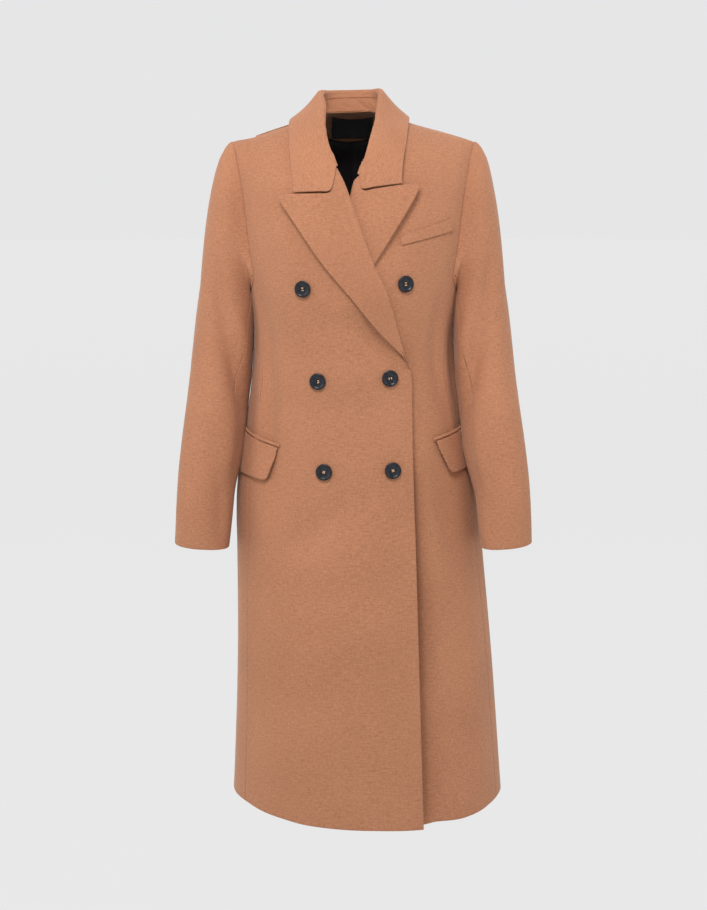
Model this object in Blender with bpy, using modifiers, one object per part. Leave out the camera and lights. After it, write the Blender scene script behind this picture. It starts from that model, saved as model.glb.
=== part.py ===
"""Long double-breasted coat, worn form with nobody in it: thin walls of cloth round an open hollow.

Units are metres, +Z is up and the front faces -Y.  The origin is on the middle line at the height
where the shoulders carry the coat.  "Right" and "left" are the wearer's: the right side is at -X.
"""
import math

import bmesh
import bpy
from mathutils import Vector

# Driving dimensions
CLOTH = 0.0022            # wall of a coat panel
THIN = 0.0014             # wall of a jet, welt, facing or label
LINING = 0.0012           # wall of the lining
SEAM = 0.0003             # gap between two pieces at a seam
SET_IN = 0.0007           # gap between armhole and sleeve
SET_IN_TOP = 0.0024       # the same at the shoulder point, where the cap stands up from the panels
SET_IN_FADE = 34          # degrees round the armhole over which the one becomes the other
ROUNDNESS = 2.3           # exponent of the body's sections, 2 is an ellipse
SLEEVE_ROUNDNESS = 2.25   # the same for a sleeve
RIDGE_TOP = 0.0179        # height at which the two shoulder lines would meet
RIDGE_SLOPE = 0.352       # fall of the shoulder line over its run
RIDGE_ROUND = 0.09        # depth over which the chest rounds over to the shoulder
NECK_ARCH = 0.022         # rise of the line between the two neck points
HEM = -1.081
NECK_HALF = 0.072         # from the middle of the neck to the neck point of the shoulder seam
NECK_CENTRE = -0.0075     # the collar sits this far to the wearer's right
BACK_NECK_RISE = 0.0140   # the back neckline is this much higher at its middle than the neck points
NECK_EASE = 0.0008        # the back neckline stays this far below the shoulder line
OVERLAP_LIFT = 0.0045     # the right front lies this far over the left front
LAPEL_LIFT = 0.0030       # and this much more where the left lapel is between them
LIFT_STARTS = 0.135       # the lift starts this far to the right of the closing line
LIFT_RUN = 0.048          # and is complete after this run
LAPEL_LIFT_ENDS = (-0.44, -0.38)      # heights between which the lapel's share comes in
NECK_LIFT_ENDS = (-0.075, -0.110)     # heights below the neck between which the lift comes in
SEAM_RADIUS = 0.16        # distance of the seams from the body's axis, to turn a gap into an angle
BUTTON_RADIUS = 0.0125
BUTTON_SIDES = 20

# Horizontal sections of the body: half width, depth in front, depth behind, sideways shift
SECTIONS = (
    # z,     half,   front,  back,   shift
    (0.03,   0.199,  0.052,  0.090,  0.000),
    (-0.02,  0.195,  0.073,  0.098,  0.000),
    (-0.07,  0.187,  0.093,  0.108,  0.000),
    (-0.12,  0.179,  0.111,  0.116,  0.000),
    (-0.19,  0.171,  0.130,  0.119,  0.000),
    (-0.26,  0.160,  0.136,  0.108,  0.000),
    (-0.32,  0.153,  0.130,  0.095,  0.000),
    (-0.38,  0.156,  0.126,  0.089,  0.001),
    (-0.45,  0.167,  0.127,  0.097,  0.004),
    (-0.55,  0.1843, 0.133,  0.112,  0.0057),
    (-0.61,  0.1900, 0.137,  0.116,  0.0068),
    (-0.67,  0.1935, 0.141,  0.120,  0.0100),
    (-0.85,  0.2033, 0.152,  0.134,  0.0178),
    (-1.09,  0.2155, 0.165,  0.153,  0.0228),
)

# Pattern angles of the seams, from the middle of the front, and the turn of the whole skirt
SEAM_ANGLES = (
    # z,     front,  back,   turn
    (-0.24,  64.0,   115.0,  0.0),
    (-0.31,  65.5,   117.0,  0.0),
    (-0.40,  58.0,   119.0,  0.0),
    (-0.47,  61.0,   119.0,  0.2),
    (-0.56,  62.5,   118.5,  1.2),
    (-0.66,  63.5,   118.0,  2.2),
    (-0.88,  64.0,   117.5,  3.2),
    (-1.09,  65.0,   117.0,  4.0),
)

# The hem, lowest in front and behind, by angle from the front
HEM_LINE = (
    # angle,  rise
    (-180.0, 0.0000),
    (-130.0, 0.0040),
    (-95.0,  0.0150),
    (-76.0,  0.0195),
    (-60.0,  0.0190),
    (-45.0,  0.0130),
    (-30.0,  0.0075),
    (-14.0,  0.0032),
    (0.0,    0.0006),
    (20.0,   0.0000),
    (27.0,   0.0056),
    (40.0,   0.0064),
    (52.0,   0.0100),
    (62.0,   0.0150),
    (78.0,   0.0190),
    (95.0,   0.0140),
    (130.0,  0.0040),
    (180.0,  0.0000),
)
# Armhole, from the shoulder down the front, under the arm and up the back.
# around is the angle of the same place on the sleeve, 0 outermost and 90 in front.
ARMHOLE = (
    # around, angle,  z
    (0,       76.0,  -0.0460),
    (8,       72.8,  -0.0510),
    (18,      70.0,  -0.0650),
    (34,      67.5,  -0.0940),
    (52,      66.0,  -0.1320),
    (70,      65.0,  -0.1720),
    (90,      64.4,  -0.2100),
    (112,     64.0,  -0.2400),
    (132,     70.0,  -0.2570),
    (155,     79.0,  -0.2650),
    (180,     90.0,  -0.2680),
    (205,     101.0, -0.2630),
    (228,     110.0, -0.2500),
    (248,     115.0, -0.2280),
    (268,     116.0, -0.1940),
    (286,     116.0, -0.1570),
    (303,     115.5, -0.1210),
    (320,     114.0, -0.0900),
    (341,     110.5, -0.0650),
    (352,     107.4, -0.0510),
    (360,     104.0, -0.0460),
)
FRONT_SEAM_STOP = 7       # armhole row where front seam and sleeve's front seam meet it
BACK_SEAM_STOP = 13       # the same for the back seam and the sleeve's back seam

# Levels shared by all body panels below the armhole
LEVELS = (-0.300, -0.340, -0.380, -0.425, -0.480, -0.545, -0.625, -0.725, -0.840, -0.960, HEM)
UNDERARM_STEP = 0.45      # one more row this far from armhole to the first level

# Inner edge of a front: neckline, roll line, then front edge.
# reach is how far it passes the closing line, which stands at x = closing.
FRONT_EDGE = (
    # z,      reach,   closing
    (0.0000, -0.0720, -0.0075),
    (-0.0250, -0.0680, -0.0075),
    (-0.0500, -0.0520, -0.0075),
    (-0.0786, -0.0162, -0.0075),
    (-0.1000, -0.0062, -0.0065),
    (-0.1200, 0.0003,  -0.0053),
    (-0.1450, 0.0075,  -0.0042),
    (-0.1700, 0.0145,  -0.0035),
    (-0.2220, 0.0313,  -0.0020),
    (-0.2660, 0.0485,  -0.0007),
    (-0.3560, 0.0724,  -0.0003),
    (-0.3800, 0.0806,  0.0004),
    (-0.4200, 0.0832,  0.0015),
    (-0.4980, 0.0830,  0.0035),
    (-0.6640, 0.0825,  0.0090),
    (-0.8790, 0.0826,  0.0155),
    (-1.0900, 0.0842,  0.0212),
)
# Heights on that edge of the rows that end at the armhole, one for each row down to the front seam
FRONT_TOP_ROWS = (0.000, -0.010, -0.028, -0.052, -0.0786, -0.120, -0.172, -0.222)
# The same for a back, down the centre-back seam
BACK_TOP_ROWS = (0.0066, -0.002, -0.013, -0.028, -0.052, -0.092, -0.145, -0.205)

SHOULDER_ROWS = 4         # rows over which the shoulder line's form fades

# Lapels as (x, z) on the chest.  top: gorge, inner and outer corner of the collar, tip
LAPEL_TOP = {
    -1: ((-0.0238, -0.0786), (-0.0259, -0.0968), (-0.0312, -0.1138),
         (-0.0470, -0.1155), (-0.0870, -0.1168), (-0.1090, -0.1205)),
    1: ((0.0075, -0.0903), (0.0087, -0.1004), (0.0122, -0.1112),
        (0.0280, -0.1090), (0.0685, -0.1032), (0.0930, -0.1030)),
}
LAPEL_OUTER = {
    -1: ((-0.1090, -0.1205), (-0.1052, -0.1310), (-0.0920, -0.1540), (-0.0456, -0.2192),
         (-0.0037, -0.2695), (0.0325, -0.3178), (0.0661, -0.3553), (0.0790, -0.3720)),
    1: ((0.0930, -0.1030), (0.0886, -0.1165), (0.0753, -0.1432), (0.0536, -0.1816),
        (0.0293, -0.2207), (-0.0060, -0.2720), (-0.0440, -0.3240), (-0.0780, -0.3720)),
}
LAPEL_ROWS = (-0.0786, -0.098, -0.120, -0.150, -0.185, -0.225, -0.265, -0.305, -0.340, -0.363, -0.374)
LAPEL_GAP = 0.0012        # between chest and lapel where it lies close
LAPEL_INSET = 0.0004      # of the lapel's inner edge from the front's
LAPEL_ROLL = 0.0040       # more at the gorge
ROLL_FADES = (-0.125, -0.080)     # heights between which that comes in
ROLL_FLATTENS = 0.6       # share of it lost at the lapel's outer edge
LAPEL_STAND_OFF = {-1: 0.0050, 1: 0.0045}   # more at the tip
STAND_OFF_STARTS = -0.12
STAND_OFF_ENDS = {-1: -0.36, 1: -0.19}      # height where the outer edge lies close again

# Collar, from the right gorge round the back to the left gorge
COLLAR_FOLD = (
    # along,  x,       y,       z
    (-1.00, -0.0238, -0.1062, -0.0786),
    (-0.88, -0.0310, -0.0890, -0.0600),
    (-0.74, -0.0426, -0.0620, -0.0253),
    (-0.60, -0.0467, -0.0350, -0.0010),
    (-0.46, -0.0496, -0.0080, 0.0220),
    (-0.31, -0.0545, 0.0200,  0.0385),
    (-0.16, -0.0410, 0.0440,  0.0405),
    (0.00,  -0.0060, 0.0540,  0.0415),
    (0.16,  0.0290,  0.0440,  0.0420),
    (0.31,  0.0422,  0.0200,  0.0410),
    (0.46,  0.0403,  -0.0080, 0.0220),
    (0.60,  0.0354,  -0.0350, -0.0010),
    (0.74,  0.0277,  -0.0620, -0.0253),
    (0.88,  0.0170,  -0.0890, -0.0600),
    (1.00,  0.0075,  -0.1080, -0.0903),
)
COLLAR_EDGE = (
    # along,  x,       y,       z
    (-1.00, -0.0870, -0.1120, -0.1155),
    (-0.85, -0.0910, -0.1020, -0.0900),
    (-0.70, -0.0948, -0.0820, -0.0600),
    (-0.55, -0.0970, -0.0450, -0.0290),
    (-0.41, -0.0985, -0.0020, -0.0065),
    (-0.27, -0.0890, 0.0450,  -0.0085),
    (-0.13, -0.0520, 0.0860,  -0.0200),
    (0.00,  -0.0060, 0.0985,  -0.0240),
    (0.13,  0.0400,  0.0860,  -0.0200),
    (0.27,  0.0770,  0.0450,  -0.0075),
    (0.41,  0.0855,  -0.0020, -0.0025),
    (0.55,  0.0815,  -0.0450, -0.0290),
    (0.70,  0.0755,  -0.0860, -0.0580),
    (0.85,  0.0720,  -0.1040, -0.0840),
    (1.00,  0.0685,  -0.1125, -0.1020),
)
FOLD_RADIUS = 0.0036
COLLAR_CLEAR = 0.0018     # least gap between the fall and the chest under it
FOLD_CLEAR = 0.0042       # least height of the fold over the inner face of the chest
COLLAR_END_LIFT = 0.0048  # the fall's ends stand off the chest this much more than a lapel
GORGE_GAP = 0.0009        # between the end of the fall and the lapel's top edge
FOLD_INSIDE = 0.0075      # the fall reaches this far down inside the neck
FOLD_SHARE = 0.35         # or this share of the stand, where that is less
STAND_GAP = 0.0018        # between that edge and the stand
NECK_GAP = 0.0034         # from the middle of the panels' wall up to the foot of the stand
COLLAR_END_FROM = 0.80    # from here along, the fall turns into its end above the lapel
SHOULDER_AT = 0.46        # where the neckline passes the shoulder seams, counted along the collar
COLLAR_STATIONS = 12      # rings of the collar on each side of centre back
STAND_STATIONS = 10       # the stand runs out at this one of them

# Sleeve: sections of one sleeve by height, for the wearer's left
SLEEVE = (
    # z,      outer,   inner,   middle_y, depth
    (-0.030,  0.1870,  0.150,   0.000,    0.062),
    (-0.046,  0.1935,  0.150,   0.000,    0.066),
    (-0.066,  0.2045,  0.150,   0.000,    0.068),
    (-0.087,  0.2122,  0.150,   0.000,    0.069),
    (-0.120,  0.2178,  0.151,   0.000,    0.070),
    (-0.165,  0.2235,  0.153,   0.000,    0.070),
    (-0.230,  0.2325,  0.157,   -0.001,   0.069),
    (-0.300,  0.2430,  0.1600,  -0.004,   0.067),
    (-0.355,  0.2490,  0.1610,  -0.010,   0.064),
    (-0.408,  0.2530,  0.1665,  -0.020,   0.061),
    (-0.450,  0.2565,  0.1715,  -0.030,   0.058),
    (-0.500,  0.2612,  0.1765,  -0.041,   0.055),
    (-0.545,  0.2655,  0.1805,  -0.050,   0.052),
    (-0.612,  0.2710,  0.1865,  -0.061,   0.047),
    (-0.672,  0.2755,  0.1935,  -0.068,   0.043),
)
# How each forearm differs from that: further forward, nearer the body, narrower at the cuff
FOREARMS = {
    # side: forward, nearer, narrower, height of the cuff
    -1: (0.000, 0.000, 0.001, -0.6550),
    1: (0.036, 0.002, 0.006, -0.6490),
}
ELBOW = (-0.28, -0.46)    # heights between which the forearm takes its own place
WRIST = (-0.50, -0.60)    # the same for its width
SPLIT = 0.3               # degrees by which each sleeve piece stops short of a seam
SPLIT_EDGE = 3.0          # and its next column of points
CAP_EASE = 2.2            # how soon below the armhole the sleeve rounds out to its own section
# Angles on the sleeve of its front and back seam, from armhole 0 to cuff 1
SLEEVE_SEAMS = (
    # down, front, back
    (0.0,   112.0, 248.0),
    (0.25,  128.0, 246.0),
    (0.50,  138.0, 243.0),
    (0.75,  152.0, 240.0),
    (1.0,   168.0, 238.0),
)
CAP_BLEND = 0.34          # share of the sleeve's length over which the armhole's form fades
SLEEVE_RINGS = (0.0, 0.018, 0.05, 0.10, 0.16, 0.24, 0.33, 0.44, 0.56, 0.69, 0.84, 1.0)

# Hip flaps as (angle, z): upper edge falls in a line towards the front
FLAPS = {
    # side: (inner angle, z there, rise for each degree, lower inner angle, lower z, its rise)
    -1: (38.2, -0.4968, 0.00041, 42.2, -0.5478, 0.00014),
    1: (39.6, -0.4870, 0.00046, 45.0, -0.5372, 0.00020),
}
FLAP_OUTER_ANGLE = {-1: 95.0, 1: 84.0}
FLAP_CORNER = 0.010       # radius of the lower inner corner
FLAP_STAND_OFF = 0.0035   # of the lower edge, in front of the sleeve
FLAP_LIES_CLOSE = (48.0, 60.0)    # angles between which that stand-off fades, next to the sleeve
FLAP_SPACING = 1.35       # its columns are closer together near the rounded corner
FLAP_GAP = 0.0010         # between the front and the flap's upper edge
JET_WIDTH = 0.0055
JET_GAP = 0.0008
JET_LONGER = 1.0          # degrees by which the jet passes the flap's inner end

# Breast welt as (x, z): upper inner, upper outer, lower outer and lower inner corner
WELT = ((0.0671, -0.1786), (0.1440, -0.1567), (0.1466, -0.1743), (0.0700, -0.1922))
WELT_GAP = 0.0009

BUTTONS = (
    # row,      side, front, x,       z,       gap behind it
    ("top",     -1,   -1,    -0.0702, -0.2565, 0.0000),
    ("top",     1,    1,     0.0757,  -0.2495, -0.0001),
    ("middle",  -1,   -1,    -0.0500, -0.3940, -0.0001),
    ("middle",  1,    -1,    0.0511,  -0.3892, 0.0002),
    ("bottom",  -1,   -1,    -0.0422, -0.5301, 0.0004),
    ("bottom",  1,    -1,    0.0568,  -0.5278, 0.0004),
)
# Turned profile of a button from the middle of its dish to the middle of its back
BUTTON_PROFILE = (
    # radius, height
    (0.0000, 0.0026),
    (0.0070, 0.0027),
    (0.0090, 0.0040),
    (0.0112, 0.0042),
    (BUTTON_RADIUS, 0.0030),
    (0.0120, 0.0010),
    (0.0100, 0.0000),
    (0.0000, 0.0000),
)

# Inside the back: facing below the neckline, label on it, lining below it
FACING_HALF = 0.060
FACING_LOW = -0.037
FACING_RISE = 0.018       # of its lower edge at its two ends
FACING_BELOW_NECK = 0.0012
FACING_BELOW_RIDGE = 0.0045
LABEL_HALF = 0.033
LABEL_TOP = -0.0005
LABEL_LOW = -0.0335
LABEL_WALL = 0.0008
LINING_LOW = -0.260
LINING_WIDER = (0.045, 0.022)     # columns of the lining past each end of the facing
LINING_BELOW_RIDGE = 0.0080
# Outer faces inside the back, measured out from the inner face of the back panels
FACING_OUT = -0.0020
LABEL_OUT = -0.0049
LINING_OUT = -0.0026

# How finely the sheets are divided
FRONT_COLUMNS = 9
BACK_NECK_COLUMNS = (0, 0.38, 0.66, 0.87, 0.97)   # shares of the way from centre back to the neck point
BACK_SHOULDER_COLUMNS = 5
LAPEL_COLUMNS = 8
FOLD_STEPS = 3            # of the half turn at the collar's fold
FALL_ROWS = (0.33, 0.67, 1.0)     # shares of the way from the fold to the edge
FLAP_COLUMNS = 10
FLAP_ROWS = 5
WELT_COLUMNS = 8
WELT_ROWS = 2
FACING_COLUMNS = 8
FACING_ROWS = 3
LABEL_COLUMNS = 4
LABEL_ROWS = 3
LINING_ROWS = 6
HAIR = 1e-6               # a rounding error's worth

NAME_OF_SIDE = {-1: "right", 1: "left"}


# ---------------------------------------------------------------- helpers
def mix(a, b, t):
    return a + (b - a) * t


def ease(t):
    t = min(1.0, max(0.0, t))
    return t * t * (3 - 2 * t)


def ramp(value, start, end):
    """0 at start, 1 at end, smooth between."""
    return ease((value - start) / (end - start))


def read(rows, key):
    """The other columns of a table at a key in its first column, as a smooth curve."""
    if rows[0][0] > rows[-1][0]:
        rows = rows[::-1]
    key = min(max(key, rows[0][0]), rows[-1][0])
    last = len(rows) - 1
    i = max(k for k in range(last) if rows[k][0] <= key)
    step = rows[i + 1][0] - rows[i][0]
    t = (key - rows[i][0]) / step

    def slope(k, column):
        a, b = rows[max(k - 1, 0)], rows[min(k + 1, last)]
        return (b[column] - a[column]) / (b[0] - a[0])

    return [
        rows[i][c] * (2 * t ** 3 - 3 * t ** 2 + 1)
        + rows[i + 1][c] * (3 * t ** 2 - 2 * t ** 3)
        + slope(i, c) * step * (t ** 3 - 2 * t ** 2 + t)
        + slope(i + 1, c) * step * (t ** 3 - t ** 2)
        for c in range(1, len(rows[0]))
    ]


def along(points, t):
    """The point a share t of the way along a smooth line through some points."""
    lengths = [0.0]
    for a, b in zip(points, points[1:]):
        lengths.append(lengths[-1] + math.dist(a, b))
    rows = [(length / lengths[-1], *p) for length, p in zip(lengths, points)]
    return read(rows, t)


def power(value, exponent):
    return math.copysign(abs(value) ** exponent, value)


# ---------------------------------------------------------------- form of the body
def ridge(x):
    """Height of the shoulder line at x; between the neck points it arches over the open neck."""
    across = (x - NECK_CENTRE) / NECK_HALF
    if abs(across) >= 1:
        return RIDGE_TOP - RIDGE_SLOPE * abs(x)
    return neck_points(across) + NECK_ARCH * (1 - across ** 2)


def neck_points(across):
    """Height of the straight line between the two neck points, at -1 and 1 across the neck."""
    return RIDGE_TOP - RIDGE_SLOPE * (NECK_HALF + NECK_CENTRE * across)


def body(angle, z, out=0.0):
    """A point of the body's surface, angle in degrees from the front towards the wearer's left."""
    half, front, back, shift = read(SECTIONS, z)
    turned = math.radians(angle)
    across = power(math.sin(turned), 2 / ROUNDNESS)
    forward = power(math.cos(turned), 2 / ROUNDNESS)
    x = shift + half * across
    below = min(1.0, max(0.0, (ridge(x) - z) / RIDGE_ROUND))
    level = math.sqrt(1 - (1 - below) ** 2)
    depth = front if forward > 0 else back
    return Vector((x + out * across * level,
                   -(depth + out) * forward * level,
                   z + out * math.sqrt(1 - level ** 2)))


def level(z, angle):
    """A level's height at an angle: all are flat except the hem."""
    return z + read(HEM_LINE, angle)[0] if z == HEM else z


def angle_at(x, z, behind=False):
    half, _, _, shift = read(SECTIONS, z)
    share = min(1.0, max(-1.0, (x - shift) / half))
    angle = math.degrees(math.asin(power(share, ROUNDNESS / 2)))
    return math.copysign(180, x) - angle if behind else angle


def right_lift(x, z):
    """How far the right front is lifted, because it laps over the left one."""
    reach, closing = read(FRONT_EDGE, z)
    over = ease((x - closing + LIFT_STARTS) / LIFT_RUN)
    upper = ramp(z, *LAPEL_LIFT_ENDS)
    below_neck = ramp(z, *NECK_LIFT_ENDS)
    return over * below_neck * (OVERLAP_LIFT + LAPEL_LIFT * upper)


def layer(side, x, z):
    return right_lift(x, z) if side < 0 else 0.0


def on_front(side, x, z, out):
    """A point of the chest at (x, z), moved out from the inner face of that side's front."""
    return body(angle_at(x, z), z, out + layer(side, x, z))


def on_back(x, z, out):
    return body(angle_at(x, z, behind=True), z, out)


def clear_of_body(side, spot, out):
    """The spot, moved outwards where it is nearer than out to the inner face of the coat's body."""
    _, front_depth, back_depth, _ = read(SECTIONS, spot.z)
    ahead = spot.y < 0
    angle = math.radians(angle_at(spot.x, spot.z))
    depth = front_depth + layer(side, spot.x, spot.z) if ahead else back_depth
    reach = (depth + out) * power(math.cos(angle), 2 / ROUNDNESS)
    middle = ridge(spot.x) - RIDGE_ROUND
    rise = max(0.0, spot.z - middle)
    share = math.hypot(rise / (RIDGE_ROUND + out), spot.y / reach)
    if share >= 1:
        return spot
    return Vector((spot.x, spot.y / share, max(spot.z, middle + rise / share)))


def seam_angle(side, z, column):
    angles = read(SEAM_ANGLES, z)
    return side * angles[column] + angles[2]


# ---------------------------------------------------------------- making solids
def collection(name):
    made = bpy.data.collections.new(name)
    bpy.context.scene.collection.children.link(made)
    return made


def material(name, colour, roughness):
    made = bpy.data.materials.new(name)
    made.use_nodes = True
    shader = made.node_tree.nodes["Principled BSDF"]
    shader.inputs["Base Color"].default_value = (*colour, 1)
    shader.inputs["Roughness"].default_value = roughness
    shader.inputs["Metallic"].default_value = 0.0
    return made


def sheet(name, rows, wall, outward, flip, stuff):
    """A wall of cloth: a sheet through rows of points, with Solidify."""
    work = bmesh.new()
    verts = [[work.verts.new(p) for p in row] for row in rows]
    for upper, lower in zip(verts, verts[1:]):
        for k in range(len(upper) - 1):
            corners = [upper[k], lower[k], lower[k + 1], upper[k + 1]]
            work.faces.new(corners[::-1] if flip else corners)
    mesh = bpy.data.meshes.new(name)
    work.to_mesh(mesh)
    work.free()
    mesh.materials.append(stuff)
    mesh.shade_smooth()
    made = bpy.data.objects.new(name, mesh)
    coat.objects.link(made)
    solid = made.modifiers.new("wall", "SOLIDIFY")
    solid.thickness = wall
    solid.offset = 1.0 if outward else -1.0
    return made


def armhole_point(side, stop):
    """Angle and height of a row of the armhole."""
    _, angle, z = ARMHOLE[stop]
    return side * angle, z


def panel_row(inner, outer, columns, top=None, fade=0.0):
    """(angle, z) pairs between two edges.  top gives the height of the first row at a column."""
    row = []
    for s in columns:
        angle, z = mix(inner[0], outer[0], s), mix(inner[1], outer[1], s)
        if fade:
            z += fade * top(s)
        row.append((angle, level(z, angle)))
    return row


# ---------------------------------------------------------------- body panels
def edge_x(side, z):
    reach, closing = read(FRONT_EDGE, z)
    return closing - side * reach


def seam_line(side, stop, column):
    """(angle, z) down a seam: a step below its place on the armhole, then at each level."""
    top = armhole_point(side, stop)
    first = (seam_angle(side, LEVELS[0], column), LEVELS[0])
    step = (mix(top[0], first[0], UNDERARM_STEP), mix(top[1], first[1], UNDERARM_STEP))
    return [step] + [(seam_angle(side, z, column), z) for z in LEVELS]


def front(side, stuff):
    inset = side * math.degrees(SEAM / 2 / SEAM_RADIUS)
    columns = [k / FRONT_COLUMNS for k in range(FRONT_COLUMNS + 1)]
    neck_x = edge_x(side, 0.0)
    neck = (angle_at(neck_x, 0.0), 0.0)
    tip = armhole_point(side, 0)

    def shoulder(s):
        angle, z = mix(neck[0], tip[0], s), mix(ridge(neck_x), tip[1], s)
        return ridge(body(angle, z)[0]) - z

    rows = []
    for stop, z_in in enumerate(FRONT_TOP_ROWS):
        start_z = z_in if stop else ridge(neck_x)
        start = (angle_at(edge_x(side, z_in), start_z), start_z)
        fade = max(0.0, 1 - stop / SHOULDER_ROWS) ** 2
        rows.append(panel_row(start, armhole_point(side, stop), columns, shoulder, fade))
    for angle, z in seam_line(side, FRONT_SEAM_STOP, 0):
        start = (angle_at(edge_x(side, z), z), z)
        rows.append(panel_row(start, (angle - inset, z), columns))
    points = []
    for number, row in enumerate(rows):
        line = []
        for angle, z in row:
            spot = body(angle, z)
            spot = body(angle, z, layer(side, spot.x, z))
            if number == 0:
                spot.y = -SEAM / 2
            line.append(spot)
        points.append(line)
    sheet("front_" + NAME_OF_SIDE[side], points, CLOTH, True, side < 0, stuff)


def side_panel(side, stuff):
    inset = side * math.degrees(SEAM / 2 / SEAM_RADIUS)
    arc = [armhole_point(side, k) for k in range(FRONT_SEAM_STOP, BACK_SEAM_STOP + 1)]
    shares = [k / (len(arc) - 1) for k in range(len(arc))]
    levels = []
    for z in LEVELS:
        angles = [mix(seam_angle(side, z, 0), seam_angle(side, z, 1), s) for s in shares]
        levels.append([(angle, level(z, angle)) for angle in angles])
    step = [(mix(a, b, UNDERARM_STEP), mix(z, LEVELS[0], UNDERARM_STEP))
            for (a, z), (b, _) in zip(arc, levels[0])]
    rows = [arc, step, *levels]
    points = []
    for row in rows:
        row[0] = (row[0][0] + inset, row[0][1])
        row[-1] = (row[-1][0] - inset, row[-1][1])
        points.append([body(angle, z) for angle, z in row])
    sheet("side_" + NAME_OF_SIDE[side], points, CLOTH, True, side < 0, stuff)


def back_neck(x):
    """Height of the back neckline at x."""
    across = (x - NECK_CENTRE) / NECK_HALF
    return neck_points(across) + BACK_NECK_RISE - (BACK_NECK_RISE + NECK_EASE) * across ** 2


def back(side, stuff):
    inset = side * math.degrees(SEAM / 2 / SEAM_RADIUS)
    last_stop = len(ARMHOLE) - 1
    tip = armhole_point(side, last_stop)
    neck_x = edge_x(side, 0.0)
    neck_angle = abs(angle_at(neck_x, ridge(neck_x), behind=True))
    split = (180 - neck_angle) / (180 - abs(tip[0]))
    columns = [split * k for k in BACK_NECK_COLUMNS]
    columns += [mix(split, 1, k / BACK_SHOULDER_COLUMNS) for k in range(BACK_SHOULDER_COLUMNS + 1)]
    top_z = back_neck(0)

    def top(s):
        angle, z = mix(side * 180, tip[0], s), mix(top_z, tip[1], s)
        x = body(angle, z)[0]
        wanted = ridge(x) if s >= split - HAIR else min(back_neck(x), ridge(x) - NECK_EASE)
        return wanted - z

    rows = []
    for number, z_in in enumerate(BACK_TOP_ROWS):
        outer = armhole_point(side, last_stop - number)
        fade = max(0.0, 1 - number / SHOULDER_ROWS) ** 2
        rows.append(panel_row((side * 180 - inset, z_in), outer, columns, top, fade))
    for angle, z in seam_line(side, BACK_SEAM_STOP, 1):
        start = (side * 180 + read(SEAM_ANGLES, z)[2] - inset, z)
        rows.append(panel_row(start, (angle + inset, z), columns))
    points = []
    for number, row in enumerate(rows):
        line = [body(angle, z) for angle, z in row]
        if number == 0:
            for spot, s in zip(line, columns):
                if s >= split - HAIR:
                    spot.y = SEAM / 2
        points.append(line)
    sheet("back_" + NAME_OF_SIDE[side], points, CLOTH, True, side > 0, stuff)


# ---------------------------------------------------------------- sleeves
def wandered(around, down):
    """The angle on the sleeve of a place of the armhole, because its two seams run aslant."""
    here = [0, *read(SLEEVE_SEAMS, down), 360]
    there = [0, *SLEEVE_SEAMS[0][1:], 360]
    k = max(i for i in range(3) if there[i] <= around)
    return mix(here[k], here[k + 1], (around - there[k]) / (there[k + 1] - there[k]))


def sleeve_point(side, around, down):
    """A point of the sleeve's outer face: around in degrees, down from armhole 0 to cuff 1."""
    angle, z_arm = read(ARMHOLE, around)
    start = body(side * angle, z_arm, CLOTH)
    from_top = min(around, 360 - around)
    start.x += side * mix(SET_IN_TOP, SET_IN, ease(from_top / SET_IN_FADE))
    forward, nearer, narrower, cuff = FOREARMS[side]
    z = mix(z_arm, cuff, down)
    outer, inner, middle_y, depth = read(SLEEVE, z)
    below_elbow = ramp(z, *ELBOW)
    middle_y -= forward * below_elbow
    outer -= nearer * below_elbow
    inner += narrower * ramp(z, *WRIST) - nearer * below_elbow
    turned = math.radians(wandered(around, down))
    ring = Vector((
        side * ((outer + inner) / 2 + (outer - inner) / 2 * power(math.cos(turned), 2 / SLEEVE_ROUNDNESS)),
        middle_y - depth * power(math.sin(turned), 2 / SLEEVE_ROUNDNESS),
        z))
    share = min(1.0, down / CAP_BLEND)
    weight = 1 - (1 - share) ** CAP_EASE
    return Vector((mix(start.x, ring.x, weight), mix(start.y, ring.y, weight), mix(start.z, z, share)))


def sleeve(side, stuff):
    stops = [row[0] for row in ARMHOLE]
    pieces = {
        "sleeve_top_": stops[BACK_SEAM_STOP:-1] + [a + 360 for a in stops[:FRONT_SEAM_STOP + 1]],
        "sleeve_under_": stops[FRONT_SEAM_STOP:BACK_SEAM_STOP + 1],
    }
    for name, angles in pieces.items():
        first, last = angles[0], angles[-1]
        angles = [first + SPLIT, first + SPLIT_EDGE, *angles[1:-1], last - SPLIT_EDGE, last - SPLIT]
        rows = [[sleeve_point(side, a % 360, down) for a in angles] for down in SLEEVE_RINGS]
        sheet(name + NAME_OF_SIDE[side], rows, CLOTH, False, side > 0, stuff)


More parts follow.
